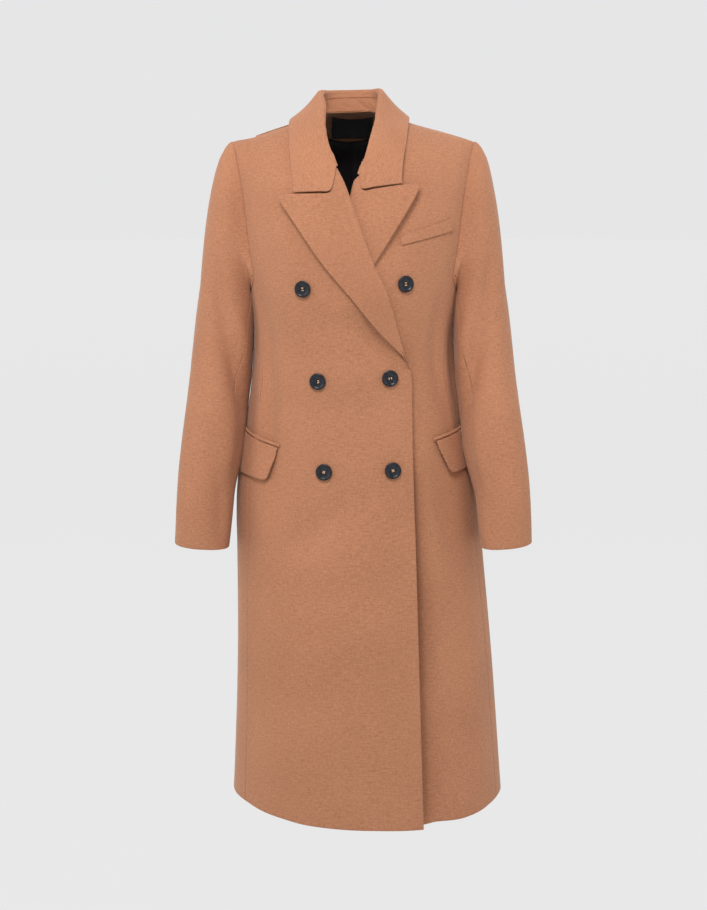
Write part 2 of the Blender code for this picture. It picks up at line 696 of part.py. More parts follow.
# ---------------------------------------------------------------- lapels and collar
def lapel(side, stuff):
    columns = [k / LAPEL_COLUMNS for k in range(LAPEL_COLUMNS + 1)]
    top = LAPEL_TOP[side]
    first, last = LAPEL_ROWS[0], LAPEL_ROWS[-1]
    points = []
    for z_roll in LAPEL_ROWS:
        t = (first - z_roll) / (first - last)
        start = (edge_x(side, z_roll) + side * LAPEL_INSET, z_roll) if t else top[0]
        end = along(LAPEL_OUTER[side], t)
        fade = (1 - t) ** 3
        line = []
        for s in columns:
            corner = along(top, s)
            straight = (mix(top[0][0], top[-1][0], s), mix(top[0][1], top[-1][1], s))
            x = mix(start[0], end[0], s) + fade * (corner[0] - straight[0])
            z = mix(start[1], end[1], s) + fade * (corner[1] - straight[1]) - GORGE_GAP * (t == 0)
            gap = LAPEL_GAP + LAPEL_ROLL * ramp(z_roll, *ROLL_FADES) * (1 - ROLL_FLATTENS * s)
            gap += LAPEL_STAND_OFF[side] * s ** 2 * ramp(z, STAND_OFF_ENDS[side], STAND_OFF_STARTS)
            line.append(on_front(side, x, z, CLOTH + gap))
        points.append(line)
    sheet("lapel_" + NAME_OF_SIDE[side], points, CLOTH, True, side < 0, stuff)


def neck_seam(u):
    """A point of the neckline, where the stand is sewn on: shoulders at u = -0.46 and 0.46."""
    side = 1 if u > 0 else -1
    ahead = (abs(u) - SHOULDER_AT) / (1 - SHOULDER_AT)
    if ahead >= 0:
        z = mix(ridge(NECK_HALF) - NECK_EASE, COLLAR_FOLD[0 if side < 0 else -1][3], ahead)
        x = edge_x(side, z)
        return body(angle_at(x, z), z, CLOTH / 2)
    x = NECK_CENTRE + side * NECK_HALF * math.sin(abs(u) / SHOULDER_AT * math.pi / 2)
    return on_back(x, min(back_neck(x), ridge(x) - NECK_EASE), CLOTH / 2)


def collar_frame(u):
    """Fold, outer edge and neck seam of the collar, and the directions into its two legs."""
    fold, edge = Vector(read(COLLAR_FOLD, u)), Vector(read(COLLAR_EDGE, u))
    seam = neck_seam(u)
    seam += (fold - seam).normalized() * NECK_GAP
    step = 0.5 / COLLAR_STATIONS
    ahead = (Vector(read(COLLAR_FOLD, u + step)) - Vector(read(COLLAR_FOLD, u - step))).normalized()

    def leg(end):
        run = end - fold
        return (run - ahead * run.dot(ahead)).normalized()

    inward, outward = leg(seam), leg(edge)
    crest = -(inward + outward).normalized()
    across = (outward - inward).normalized()
    return fold, edge, seam, crest, across


def collar_fall(stuff):
    stations = [k / COLLAR_STATIONS for k in range(-COLLAR_STATIONS, COLLAR_STATIONS + 1)]
    points = []
    for u in stations:
        fold, edge, seam, crest, across = collar_frame(u)
        centre = fold - crest * FOLD_RADIUS
        angles = [math.pi * k / FOLD_STEPS for k in range(FOLD_STEPS + 1)]
        turn = [centre + (crest * math.sin(a) - across * math.cos(a)) * FOLD_RADIUS for a in angles]
        down = seam - turn[0]
        inside = turn[0] + down.normalized() * min(FOLD_INSIDE, FOLD_SHARE * down.length)
        side = 1 if u > 0 else -1
        line = [clear_of_body(side, spot, FOLD_CLEAR) for spot in (inside, *turn)]
        corner = LAPEL_TOP[side]
        share = ramp(abs(u), COLLAR_END_FROM, 1.0)
        for s in FALL_ROWS:
            spot = clear_of_body(side, turn[-1].lerp(edge, s), 2 * CLOTH + COLLAR_CLEAR)
            x, z = along(corner[:-1], s)
            end = on_front(side, x, z + GORGE_GAP, 2 * CLOTH + LAPEL_GAP + COLLAR_END_LIFT)
            line.append(spot.lerp(end, share))
        points.append(line)
    sheet("collar_fall", points, CLOTH, False, True, stuff)


def collar_stand(stuff):
    stations = [k / COLLAR_STATIONS for k in range(-STAND_STATIONS, STAND_STATIONS + 1)]
    points = []
    for u in stations:
        fold, _, seam, crest, across = collar_frame(u)
        top = fold - crest * FOLD_RADIUS - across * FOLD_RADIUS
        down = seam - top
        start = top + down.normalized() * (min(FOLD_INSIDE, FOLD_SHARE * down.length) + STAND_GAP)
        points.append([start, start.lerp(seam, 0.5), seam])
    sheet("collar_stand", points, CLOTH, False, False, stuff)


# ---------------------------------------------------------------- inside the neck
def facing_top(x):
    return min(back_neck(x), ridge(x) - FACING_BELOW_RIDGE) - FACING_BELOW_NECK


def facing_low(x):
    return FACING_LOW + FACING_RISE * ((x - NECK_CENTRE) / FACING_HALF) ** 2


def lining_top(x):
    return min(facing_low(x), ridge(x) - LINING_BELOW_RIDGE) - SEAM


def inside_sheet(name, xs, top, low, rows, out, wall, stuff):
    """A sheet on the inner face of the backs, through columns at xs, from heights top(x) to low(x)."""
    points = [[on_back(x, mix(top(x), low(x), r / rows), out) for x in xs] for r in range(rows + 1)]
    sheet(name, points, wall, False, True, stuff)


def spread(half, count):
    """Places from -half to half about the middle of the neck."""
    return [NECK_CENTRE + mix(-half, half, k / count) for k in range(count + 1)]


# ---------------------------------------------------------------- flaps, jets and welt
def flap(side, wool):
    inner, z_inner, rise, low_inner, z_low, low_rise = FLAPS[side]
    points = []
    for r in range(FLAP_ROWS + 1):
        v = r / FLAP_ROWS
        line = []
        for k in range(FLAP_COLUMNS + 1):
            s = (k / FLAP_COLUMNS) ** FLAP_SPACING
            edge = mix(inner, low_inner, v)
            angle = mix(edge, FLAP_OUTER_ANGLE[side], s)
            upper = z_inner + rise * (angle - inner)
            lower = z_low + low_rise * (angle - low_inner)
            from_edge = math.radians(angle - edge) * SEAM_RADIUS
            lift = max(0.0, 1 - from_edge / FLAP_CORNER)
            lower += FLAP_CORNER * (1 - math.sqrt(1 - lift ** 2))
            z = mix(upper, lower, v)
            spot = body(side * angle, z)
            stand_off = FLAP_STAND_OFF * (1 - ramp(angle, *FLAP_LIES_CLOSE))
            out = layer(side, spot.x, z) + CLOTH + FLAP_GAP + stand_off * ease(v)
            line.append(body(side * angle, z, out))
        points.append(line)
    sheet("flap_" + NAME_OF_SIDE[side], points, CLOTH, True, side < 0, wool)
    points = []
    for v in (0.0, 1.0):
        line = []
        for k in range(FLAP_COLUMNS + 1):
            angle = mix(inner - JET_LONGER, FLAP_OUTER_ANGLE[side], k / FLAP_COLUMNS)
            z = z_inner + rise * (angle - inner) + SEAM + JET_WIDTH * (1 - v)
            spot = body(side * angle, z)
            line.append(body(side * angle, z, layer(side, spot.x, z) + CLOTH + JET_GAP))
        points.append(line)
    sheet("jet_" + NAME_OF_SIDE[side], points, THIN, True, side < 0, wool)


def welt(stuff):
    upper_in, upper_out, lower_out, lower_in = WELT
    points = []
    for r in range(WELT_ROWS + 1):
        v = r / WELT_ROWS
        line = []
        for k in range(WELT_COLUMNS + 1):
            s = k / WELT_COLUMNS
            x = mix(mix(upper_in[0], upper_out[0], s), mix(lower_in[0], lower_out[0], s), v)
            z = mix(mix(upper_in[1], upper_out[1], s), mix(lower_in[1], lower_out[1], s), v)
            line.append(on_front(1, x, z, CLOTH + WELT_GAP))
        points.append(line)
    sheet("welt_breast", points, THIN, True, False, stuff)


# ---------------------------------------------------------------- buttons
def button(name, side, x, z, gap, stuff):
    here = on_front(side, x, z, CLOTH + gap)
    step = BUTTON_RADIUS / 3
    ahead = on_front(side, x + step, z, CLOTH) - on_front(side, x - step, z, CLOTH)
    up = on_front(side, x, z + step, CLOTH) - on_front(side, x, z - step, CLOTH)
    normal = ahead.cross(up).normalized()
    work = bmesh.new()
    verts = [work.verts.new((r, 0, h)) for r, h in BUTTON_PROFILE]
    for a, b in zip(verts, verts[1:]):
        work.edges.new((a, b))
    mesh = bpy.data.meshes.new(name)
    work.to_mesh(mesh)
    work.free()
    mesh.materials.append(stuff)
    made = bpy.data.objects.new(name, mesh)
    coat.objects.link(made)
    turn = made.modifiers.new("turned", "SCREW")
    turn.steps = turn.render_steps = BUTTON_SIDES
    turn.use_merge_vertices = True
    turn.merge_threshold = 0.0001
    turn.use_smooth_shade = True
    made.rotation_mode = "QUATERNION"
    made.rotation_quaternion = normal.to_track_quat("Z", "Y")
    made.location = here


# ---------------------------------------------------------------- the coat
for old in list(bpy.data.objects):
    bpy.data.objects.remove(old, do_unlink=True)
coat = collection("long_coat")
wool = material("camel_wool", (0.50, 0.235, 0.125), 0.9)
satin = material("black_satin", (0.006, 0.005, 0.006), 0.45)
horn = material("dark_horn", (0.012, 0.014, 0.018), 0.35)

for side in (-1, 1):
    front(side, wool)
    side_panel(side, wool)
    back(side, wool)
    sleeve(side, wool)
    lapel(side, wool)
    flap(side, wool)
collar_fall(wool)
collar_stand(wool)
welt(wool)
facing_xs = spread(FACING_HALF, FACING_COLUMNS)
lining_xs = [facing_xs[0] - s for s in LINING_WIDER] + facing_xs
lining_xs += [facing_xs[-1] + s for s in LINING_WIDER[::-1]]
inside_sheet("back_neck_facing", facing_xs, facing_top, facing_low, FACING_ROWS, FACING_OUT, THIN, wool)
inside_sheet("neck_label", spread(LABEL_HALF, LABEL_COLUMNS), lambda x: LABEL_TOP, lambda x: LABEL_LOW,
             LABEL_ROWS, LABEL_OUT, LABEL_WALL, satin)
inside_sheet("back_lining", lining_xs, lining_top, lambda x: LINING_LOW, LINING_ROWS, LINING_OUT, LINING,
             satin)
for row, side, panel, x, z, gap in BUTTONS:
    button("button_" + row + "_" + NAME_OF_SIDE[side], panel, x, z, gap, horn)
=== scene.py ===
"""Looks of a long double-breasted wool coat, worn form with nobody in it.

Every panel is a fine cloth shell on the form of its solid.  Units are metres, +Z is up and the
front faces -Y; "right" and "left" are the wearer's, and the right side is at -X.
"""
import math

import bmesh
import bpy
import numpy as np
from mathutils import Matrix, Vector


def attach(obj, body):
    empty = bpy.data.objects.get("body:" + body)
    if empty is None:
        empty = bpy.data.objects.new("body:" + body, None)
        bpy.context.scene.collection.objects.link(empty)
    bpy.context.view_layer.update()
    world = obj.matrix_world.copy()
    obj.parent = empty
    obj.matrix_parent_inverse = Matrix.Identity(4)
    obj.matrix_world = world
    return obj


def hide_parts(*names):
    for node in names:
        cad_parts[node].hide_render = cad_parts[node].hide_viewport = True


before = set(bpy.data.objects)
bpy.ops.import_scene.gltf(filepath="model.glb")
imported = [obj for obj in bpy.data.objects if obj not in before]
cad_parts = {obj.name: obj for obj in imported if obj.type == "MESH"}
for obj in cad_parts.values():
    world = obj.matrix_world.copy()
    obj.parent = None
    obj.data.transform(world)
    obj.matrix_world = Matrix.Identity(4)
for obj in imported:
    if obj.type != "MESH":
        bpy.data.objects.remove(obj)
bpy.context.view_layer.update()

# Driving dimensions
CLOTH = 0.0022            # wall of a coat panel
THIN = 0.0014             # wall of a jet, welt, facing or label
LINING = 0.0012           # wall of the lining
SEAM = 0.0003             # gap between two pieces at a seam
SET_IN = -0.0009          # the sleeve's edge starts this much inside the armhole's
SET_IN_TOP = -0.0006      # the same at the shoulder point
SET_IN_FADE = 34          # degrees round the armhole over which the one becomes the other
ROUNDNESS = 2.3           # exponent of the body's sections, 2 is an ellipse
SLEEVE_ROUNDNESS = 2.25   # the same for a sleeve
RIDGE_TOP = 0.0179        # height at which the two shoulder lines would meet
RIDGE_SLOPE = 0.352       # fall of the shoulder line over its run
RIDGE_ROUND = 0.09        # depth over which the chest rounds over to the shoulder
NECK_ARCH = 0.022         # rise of the line between the two neck points
HEM = -1.081
NECK_HALF = 0.072         # from the middle of the neck to the neck point of the shoulder seam
NECK_CENTRE = -0.0075     # the collar sits this far to the wearer's right
BACK_NECK_RISE = 0.0140   # the back neckline is this much higher at its middle than the neck points
NECK_EASE = 0.0008        # the back neckline stays this far below the shoulder line
OVERLAP_LIFT = 0.0045     # the right front lies this far over the left front
LAPEL_LIFT = 0.0030       # and this much more where the left lapel is between them
LIFT_STARTS = 0.135       # the lift starts this far to the right of the closing line
LIFT_RUN = 0.048          # and is complete after this run
LAPEL_LIFT_ENDS = (-0.44, -0.38)      # heights between which the lapel's share comes in
NECK_LIFT_ENDS = (-0.075, -0.110)     # heights below the neck between which the lift comes in
SEAM_RADIUS = 0.16        # distance of the seams from the body's axis, to turn a gap into an angle
HALF_SEAM = math.degrees(SEAM / 2 / SEAM_RADIUS)      # each panel stops this angle short of a seam
CLOTH_METRES = math.radians(1) * SEAM_RADIUS          # metres round the body for each degree
BUTTON_RADIUS = 0.0125

# Horizontal sections of the body: half width, depth in front, depth behind, sideways shift
SECTIONS = (
    # z,     half,   front,  back,   shift
    (0.03,   0.199,  0.052,  0.090,  0.000),
    (-0.02,  0.195,  0.073,  0.098,  0.000),
    (-0.07,  0.187,  0.093,  0.108,  0.000),
    (-0.12,  0.179,  0.111,  0.116,  0.000),
    (-0.19,  0.171,  0.130,  0.119,  0.000),
    (-0.26,  0.160,  0.136,  0.108,  0.000),
    (-0.32,  0.153,  0.130,  0.095,  0.000),
    (-0.38,  0.156,  0.126,  0.089,  0.001),
    (-0.45,  0.167,  0.127,  0.097,  0.004),
    (-0.55,  0.1843, 0.133,  0.112,  0.0057),
    (-0.61,  0.1900, 0.137,  0.116,  0.0068),
    (-0.67,  0.1935, 0.141,  0.120,  0.0100),
    (-0.85,  0.2033, 0.152,  0.134,  0.0178),
    (-1.09,  0.2155, 0.165,  0.153,  0.0228),
)

# Pattern angles of the seams, from the middle of the front, and the turn of the whole skirt
SEAM_ANGLES = (
    # z,     front,  back,   turn
    (-0.24,  64.0,   115.0,  0.0),
    (-0.31,  65.5,   117.0,  0.0),
    (-0.40,  58.0,   119.0,  0.0),
    (-0.47,  61.0,   119.0,  0.2),
    (-0.56,  62.5,   118.5,  1.2),
    (-0.66,  63.5,   118.0,  2.2),
    (-0.88,  64.0,   117.5,  3.2),
    (-1.09,  65.0,   117.0,  4.0),
)

# The hem, lowest in front and behind, by angle from the front
HEM_LINE = (
    # angle,  rise
    (-180.0, 0.0000),
    (-130.0, 0.0040),
    (-95.0,  0.0150),
    (-76.0,  0.0195),
    (-60.0,  0.0190),
    (-45.0,  0.0130),
    (-30.0,  0.0075),
    (-14.0,  0.0032),
    (0.0,    0.0006),
    (20.0,   0.0000),
    (27.0,   0.0056),
    (40.0,   0.0064),
    (52.0,   0.0100),
    (62.0,   0.0150),
    (78.0,   0.0190),
    (95.0,   0.0140),
    (130.0,  0.0040),
    (180.0,  0.0000),
)
# Armhole, from the shoulder down the front, under the arm and up the back.
# around is the angle of the same place on the sleeve, 0 outermost and 90 in front.
ARMHOLE = (
    # around, angle,  z
    (0,       76.0,  -0.0460),
    (8,       72.8,  -0.0510),
    (18,      70.0,  -0.0650),
    (34,      67.5,  -0.0940),
    (52,      66.0,  -0.1320),
    (70,      65.0,  -0.1720),
    (90,      64.4,  -0.2100),
    (112,     64.0,  -0.2400),
    (132,     70.0,  -0.2570),
    (155,     79.0,  -0.2650),
    (180,     90.0,  -0.2680),
    (205,     101.0, -0.2630),
    (228,     110.0, -0.2500),
    (248,     115.0, -0.2280),
    (268,     116.0, -0.1940),
    (286,     116.0, -0.1570),
    (303,     115.5, -0.1210),
    (320,     114.0, -0.0900),
    (341,     110.5, -0.0650),
    (352,     107.4, -0.0510),
    (360,     104.0, -0.0460),
)
FRONT_SEAM_STOP = 7       # armhole row where front seam and sleeve's front seam meet it
BACK_SEAM_STOP = 13       # the same for the back seam and the sleeve's back seam

# Levels shared by all body panels below the armhole
LEVELS = (-0.300, -0.340, -0.380, -0.425, -0.480, -0.545, -0.625, -0.725, -0.840, -0.960, HEM)
UNDERARM_STEP = 0.45      # one more row this far from armhole to the first level

# Inner edge of a front: neckline, roll line, then front edge.
# reach is how far it passes the closing line, which stands at x = closing.
FRONT_EDGE = (
    # z,      reach,   closing
    (0.0000, -0.0720, -0.0075),
    (-0.0250, -0.0680, -0.0075),
    (-0.0500, -0.0520, -0.0075),
    (-0.0786, -0.0162, -0.0075),
    (-0.1000, -0.0062, -0.0065),
    (-0.1200, 0.0003,  -0.0053),
    (-0.1450, 0.0075,  -0.0042),
    (-0.1700, 0.0145,  -0.0035),
    (-0.2220, 0.0313,  -0.0020),
    (-0.2660, 0.0485,  -0.0007),
    (-0.3560, 0.0724,  -0.0003),
    (-0.3800, 0.0806,  0.0004),
    (-0.4200, 0.0832,  0.0015),
    (-0.4980, 0.0830,  0.0035),
    (-0.6640, 0.0825,  0.0090),
    (-0.8790, 0.0826,  0.0155),
    (-1.0900, 0.0842,  0.0212),
)
# Heights on that edge of the rows that end at the armhole, one for each row down to the front seam
FRONT_TOP_ROWS = (0.000, -0.010, -0.028, -0.052, -0.0786, -0.120, -0.172, -0.222)
# The same for a back, down the centre-back seam
BACK_TOP_ROWS = (0.0066, -0.002, -0.013, -0.028, -0.052, -0.092, -0.145, -0.205)

SHOULDER_ROWS = 4         # rows over which the shoulder line's form fades
SEAM_ROW = 0.05           # the panels' top edges, above this row, stop short of the shoulder seam
LINE_STEPS = 3            # times that a place on the shoulder line is worked out from the one before

# Lapels as (x, z) on the chest.  top: gorge, inner and outer corner of the collar, tip
LAPEL_TOP = {
    -1: ((-0.0238, -0.0786), (-0.0259, -0.0968), (-0.0312, -0.1138),
         (-0.0470, -0.1155), (-0.0810, -0.1168), (-0.1010, -0.1205)),
    1: ((0.0075, -0.0903), (0.0087, -0.1004), (0.0122, -0.1112),
        (0.0280, -0.1090), (0.0685, -0.1032), (0.0930, -0.1030)),
}
LAPEL_OUTER = {
    -1: ((-0.1010, -0.1205), (-0.0968, -0.1310), (-0.0832, -0.1540), (-0.0420, -0.2192),
         (-0.0037, -0.2695), (0.0325, -0.3178), (0.0661, -0.3553), (0.0790, -0.3720)),
    1: ((0.0930, -0.1030), (0.0886, -0.1165), (0.0753, -0.1432), (0.0536, -0.1816),
        (0.0293, -0.2207), (-0.0060, -0.2720), (-0.0440, -0.3240), (-0.0780, -0.3720)),
}
LAPEL_HEIGHTS = (-0.0786, -0.098, -0.374)     # gorge, end of its lower corner, lower end
LAPEL_GAP = 0.0012        # between chest and lapel where it lies close
LAPEL_INSET = 0.0004      # of the lapel's inner edge from the front's
LAPEL_ROLL = 0.0040       # more at the gorge
ROLL_FADES = (-0.125, -0.080)     # heights between which that comes in
ROLL_FLATTENS = 0.6       # share of it lost at the lapel's outer edge
GORGE_FADE = 3            # how soon below the gorge the lapel's top edge loses its form
LAPEL_STAND_OFF = {-1: 0.0050, 1: 0.0045}   # more at the tip
STAND_OFF_STARTS = -0.12
STAND_OFF_ENDS = {-1: -0.36, 1: -0.19}      # height where the outer edge lies close again

# Collar, from the right gorge round the back to the left gorge
COLLAR_FOLD = (
    # along,  x,       y,       z
    (-1.00, -0.0238, -0.1062, -0.0786),
    (-0.88, -0.0310, -0.0890, -0.0600),
    (-0.74, -0.0426, -0.0620, -0.0253),
    (-0.60, -0.0467, -0.0350, -0.0010),
    (-0.46, -0.0496, -0.0080, 0.0220),
    (-0.31, -0.0545, 0.0200,  0.0385),
    (-0.16, -0.0410, 0.0440,  0.0405),
    (0.00,  -0.0060, 0.0540,  0.0415),
    (0.16,  0.0290,  0.0440,  0.0420),
    (0.31,  0.0422,  0.0200,  0.0410),
    (0.46,  0.0403,  -0.0080, 0.0220),
    (0.60,  0.0354,  -0.0350, -0.0010),
    (0.74,  0.0277,  -0.0620, -0.0253),
    (0.88,  0.0170,  -0.0890, -0.0600),
    (1.00,  0.0075,  -0.1080, -0.0903),
)
COLLAR_EDGE = (
    # along,  x,       y,       z
    (-1.00, -0.0870, -0.1120, -0.1155),
    (-0.85, -0.0910, -0.1020, -0.0900),
    (-0.70, -0.0948, -0.0820, -0.0600),
    (-0.55, -0.0970, -0.0450, -0.0290),
    (-0.41, -0.0985, -0.0020, -0.0065),
    (-0.27, -0.0890, 0.0450,  -0.0085),
    (-0.13, -0.0520, 0.0860,  -0.0200),
    (0.00,  -0.0060, 0.0985,  -0.0240),
    (0.13,  0.0400,  0.0860,  -0.0200),
    (0.27,  0.0770,  0.0450,  -0.0075),
    (0.41,  0.0855,  -0.0020, -0.0025),
    (0.55,  0.0815,  -0.0450, -0.0290),
    (0.70,  0.0755,  -0.0860, -0.0580),
    (0.85,  0.0720,  -0.1040, -0.0840),
    (1.00,  0.0685,  -0.1125, -0.1020),
)
FOLD_RADIUS = 0.0036
COLLAR_CLEAR = 0.0018     # least gap between the fall and the chest under it
FOLD_CLEAR = 0.0042       # least height of the fold over the inner face of the chest
COLLAR_END_LIFT = 0.0048  # the fall's ends stand off the chest this much more than a lapel
GORGE_GAP = 0.0009        # between the end of the fall and the lapel's top edge
FOLD_INSIDE = 0.0075      # the fall reaches this far down inside the neck
FOLD_SHARE = 0.35         # or this share of the stand, where that is less
NECK_GAP = 0.0016         # from the middle of the panels' wall up to the foot of the stand
CLEAR_SOON = 3            # the fall has its own least gap after one part in so many of its width
COLLAR_END_FROM = 0.80    # from here along, the fall turns into its end above the lapel
SHOULDER_AT = 0.46        # where the neckline passes the shoulder seams, counted along the collar
COLLAR_STATIONS = 12      # rings of the collar on each side of centre back
STAND_STATIONS = 10       # the stand runs out at this one of them

# Sleeve: sections of one sleeve by height, for the wearer's left
SLEEVE = (
    # z,      outer,   inner,   middle_y, depth
    (-0.030,  0.1870,  0.150,   0.000,    0.062),
    (-0.046,  0.1935,  0.150,   0.000,    0.066),
    (-0.066,  0.2045,  0.150,   0.000,    0.068),
    (-0.087,  0.2122,  0.150,   0.000,    0.069),
    (-0.120,  0.2178,  0.151,   0.000,    0.070),
    (-0.165,  0.2235,  0.153,   0.000,    0.070),
    (-0.230,  0.2325,  0.157,   -0.001,   0.069),
    (-0.300,  0.2430,  0.1600,  -0.004,   0.067),
    (-0.355,  0.2490,  0.1610,  -0.010,   0.064),
    (-0.408,  0.2530,  0.1665,  -0.020,   0.061),
    (-0.450,  0.2565,  0.1715,  -0.030,   0.058),
    (-0.500,  0.2612,  0.1765,  -0.041,   0.055),
    (-0.545,  0.2655,  0.1805,  -0.050,   0.052),
    (-0.612,  0.2710,  0.1865,  -0.061,   0.047),
    (-0.672,  0.2755,  0.1935,  -0.068,   0.043),
)
# How each forearm differs from that: further forward, nearer the body, narrower at the cuff
FOREARMS = {
    # side: forward, nearer, narrower, height of the cuff
    -1: (0.000, 0.000, 0.001, -0.6550),
    1: (0.036, 0.002, 0.006, -0.6490),
}
ELBOW = (-0.28, -0.46)    # heights between which the forearm takes its own place
WRIST = (-0.50, -0.60)    # the same for its width
SPLIT = 0.02              # degrees by which each sleeve piece stops short of a seam
CAP_EASE = 2.2            # how soon below the armhole the sleeve rounds out to its own section
# Angles on the sleeve of its front and back seam, from armhole 0 to cuff 1
SLEEVE_SEAMS = (
    # share down, front seam, back seam
    (0.00, 112.0, 248.0),
    (0.05, 132.0, 247.0),
    (0.10, 152.0, 247.0),
    (0.15, 156.0, 247.0),
    (0.20, 147.0, 246.0),
    (0.25, 139.5, 246.0),
    (0.30, 135.0, 245.0),
    (0.40, 132.5, 244.0),
    (0.50, 136.0, 243.0),
    (0.60, 140.0, 242.0),
    (0.70, 147.0, 241.0),
    (0.80, 158.0, 240.0),
    (1.00, 165.0, 238.0),
)
CAP_BLEND = 0.34          # share of the sleeve's length over which the armhole's form fades
CUFF_FADE = 4             # how soon above the cuff its slant dies out

# Hip flaps as (angle, z): upper edge falls in a line towards the front
FLAPS = {
    # side: (inner angle, z there, rise for each degree, lower inner angle, lower z, its rise)
    -1: (38.2, -0.4968, 0.00041, 42.2, -0.5478, 0.00014),
    1: (39.6, -0.4870, 0.00046, 45.0, -0.5372, 0.00020),
}
FLAP_OUTER_ANGLE = {-1: 95.0, 1: 84.0}
FLAP_CORNER = 0.010       # radius of the lower inner corner
FLAP_STAND_OFF = 0.0035   # of the lower edge, in front of the sleeve
FLAP_LIES_CLOSE = (48.0, 60.0)    # angles between which that stand-off fades, next to the sleeve
FLAP_GAP = 0.0010         # between the front and the flap's upper edge
JET_WIDTH = 0.0055
JET_GAP = 0.0008
JET_LONGER = 1.0          # degrees by which the jet passes the flap's inner end

# Breast welt as (x, z): upper inner, upper outer, lower outer and lower inner corner
WELT = ((0.0671, -0.1786), (0.1440, -0.1567), (0.1466, -0.1743), (0.0700, -0.1922))
WELT_GAP = 0.0009


# Inside the back: facing below the neckline, label on it, lining below it
FACING_HALF = 0.060
FACING_LOW = -0.037
FACING_RISE = 0.018       # of its lower edge at its two ends
LABEL_HALF = 0.033
LABEL_TOP = 0.0050
LABEL_LOW = -0.0310
LABEL_WALL = 0.0008
LINING_LOW = -0.260
LINING_BELOW_RIDGE = 0.0080
# Outer faces inside the back, measured out from the inner face of the back panels
FACING_OUT = -0.0020
LABEL_OUT = -0.0049
LINING_OUT = -0.0026


# What the worn cloth does beyond the solids' form
SHOULDER_LIFT = 0.0048     # the shoulders' ends ride up this much
SHOULDER_END = {-1: (-0.148, -0.186), 1: (0.085, 0.180)}
SHOULDER_LIFTS = (-0.24, -0.10)       # heights between which that comes in
COLLAR_SINK = 0.0034       # the collar stands this much lower
COLLAR_SINKS = (-0.030, 0.022)
COLLAR_DRAW = {-1: 0.0050, 1: -0.0022}      # and its folds this much nearer the middle
COLLAR_DRAWN = {-1: (-0.02, -0.05), 1: (0.01, 0.04)}      # x between which that comes in
SLEEVE_TOUCH = 0.0075      # the sleeve's inner side lies this much nearer the body
TOUCH_STARTS = (-0.270, -0.330)
TOUCH_ENDS = (-0.580, -0.500)
SLEEVE_SLIMMER = {-1: 0.0, 1: 0.0026}       # of its outer side, below the shoulder
SLIMMER_STARTS = (-0.09, -0.17)
CUFF_SLANT = {-1: (0.0010, 0.0042), 1: (0.0030, 0.0052)}    # rise of the cuff, and more outside
COLLAR_END_TUCK = 0.0040   # the fall's ends turn this far under at the gorge
STAND_BEHIND = 0.0012      # the stand's upper edge lies behind the fall's
FOOT_STRAIGHTER = 0.0046   # rise of the stand's foot and the facing away from the middle
FOOT_HALF = 0.045          # which is complete this far from it
FACING_OVER_NECK = 0.0044  # the facing reaches this far above the back neckline
RIM_SHOWS = 0.0006         # the lining's upper edge lies this far below the facing
LABEL_CENTRE = -0.0019
LABEL_SAG = 0.0040         # of the middle of its upper edge
LINING_HALF = 0.105
ROLL_BACK = 0.0052         # the front's own edge stands back inside the lapel's roll
ROLL_BACK_STARTS = (-0.380, -0.350)
ROLL_BACK_ENDS = (-0.012, -0.030)
CENTRE_CLOSED = 0.5        # the backs overlap by this share of a seam's half gap
ROLL_SHARE = 0.10          # share of the lapel's form that goes round the roll
ROLL_UNDER = 0.0004        # the roll ends this far under the front's inner face
ROLL_DIES = (0.90, 1.0)    # where along the lapel the roll runs out into the front edge
ROLL_LEFT = 0.25           # share of its fullness that is left there
ROLL_FLAT = 4              # how soon beside the roll the lapel lies at its own place
FALL_INSIDE = 0.08         # shares of the fall's form where its fold starts and ends
FALL_OVER = 0.20
STAND_LAP = -0.0015        # the stand's upper edge lies this far behind the fall's inner edge
JET_CROWN = 0.0016         # the jet is this much fuller along its middle
JET_ROUND = 0.7            # exponent of that fullness: below 1 it is rounder

# The cloth's grain and grid
TINY = 1e-12               # least length that is divided by
ARM_METRES = math.radians(0.045)      # metres round a sleeve for each degree
LAPEL_WIDTH = 0.09         # metres of cloth across a lapel, and round its roll for each radian
ROLL_WIDTH = 0.003
COLLAR_HALF_LENGTH = 0.235
COLLAR_WIDTH = 0.10
GRID = 0.0046              # spacing of the points of a large piece
EDGE_TURNS = (0, 30, 60, 90)          # degrees round a rounded edge of its points
EDGE_MOST = 5              # which takes up at most one of so many parts of a piece
TRIED = (1200, 500)        # places that are measured down and across a form, to space its grid
TRIED_COLUMNS = (0.1, 0.3, 0.5, 0.7, 0.9)     # places across where its length is measured
FOLD_SHARES = (0.12, 0.88)            # of half a wave, which a fold's height follows along it
HEM_FACING = 0.042         # turned-up wool inside hem and cuffs
FRONT_FACING = 0.075       # wool facing inside the front edges
NECK_WOOL = -0.012         # the backs are lined below this height, and beside this half width
NECK_WOOL_HALF = 0.08

# Each button: row, side, front, x, z, gap behind it, turn in degrees, strands as pairs of holes
BUTTONS = (
    ("top", -1, -1, -0.0702, -0.2565, 0.0000, 8, ((0, 1), (3, 2))),
    ("top", 1, 1, 0.0757, -0.2495, -0.0001, 5, ((3, 2), (0, 1))),
    ("middle", -1, -1, -0.0500, -0.3940, -0.0001, 40, ((0, 1), (1, 2))),
    ("middle", 1, -1, 0.0511, -0.3892, 0.0002, 12, ((0, 3), (1, 2))),
    ("bottom", -1, -1, -0.0422, -0.5301, 0.0004, -20, ((0, 2), (1, 3))),
    ("bottom", 1, -1, 0.0568, -0.5278, 0.0004, 10, ((0, 2), (3, 1))),
)
HOLES = ((-0.0017, -0.0017), (0.0017, -0.0017), (0.0017, 0.0017), (-0.0017, 0.0017))
HOLE_RADIUS = 0.00085
DRILL = (0.002, 0.01)     # height of its middle, and its length
DRILL_SIDES = 20
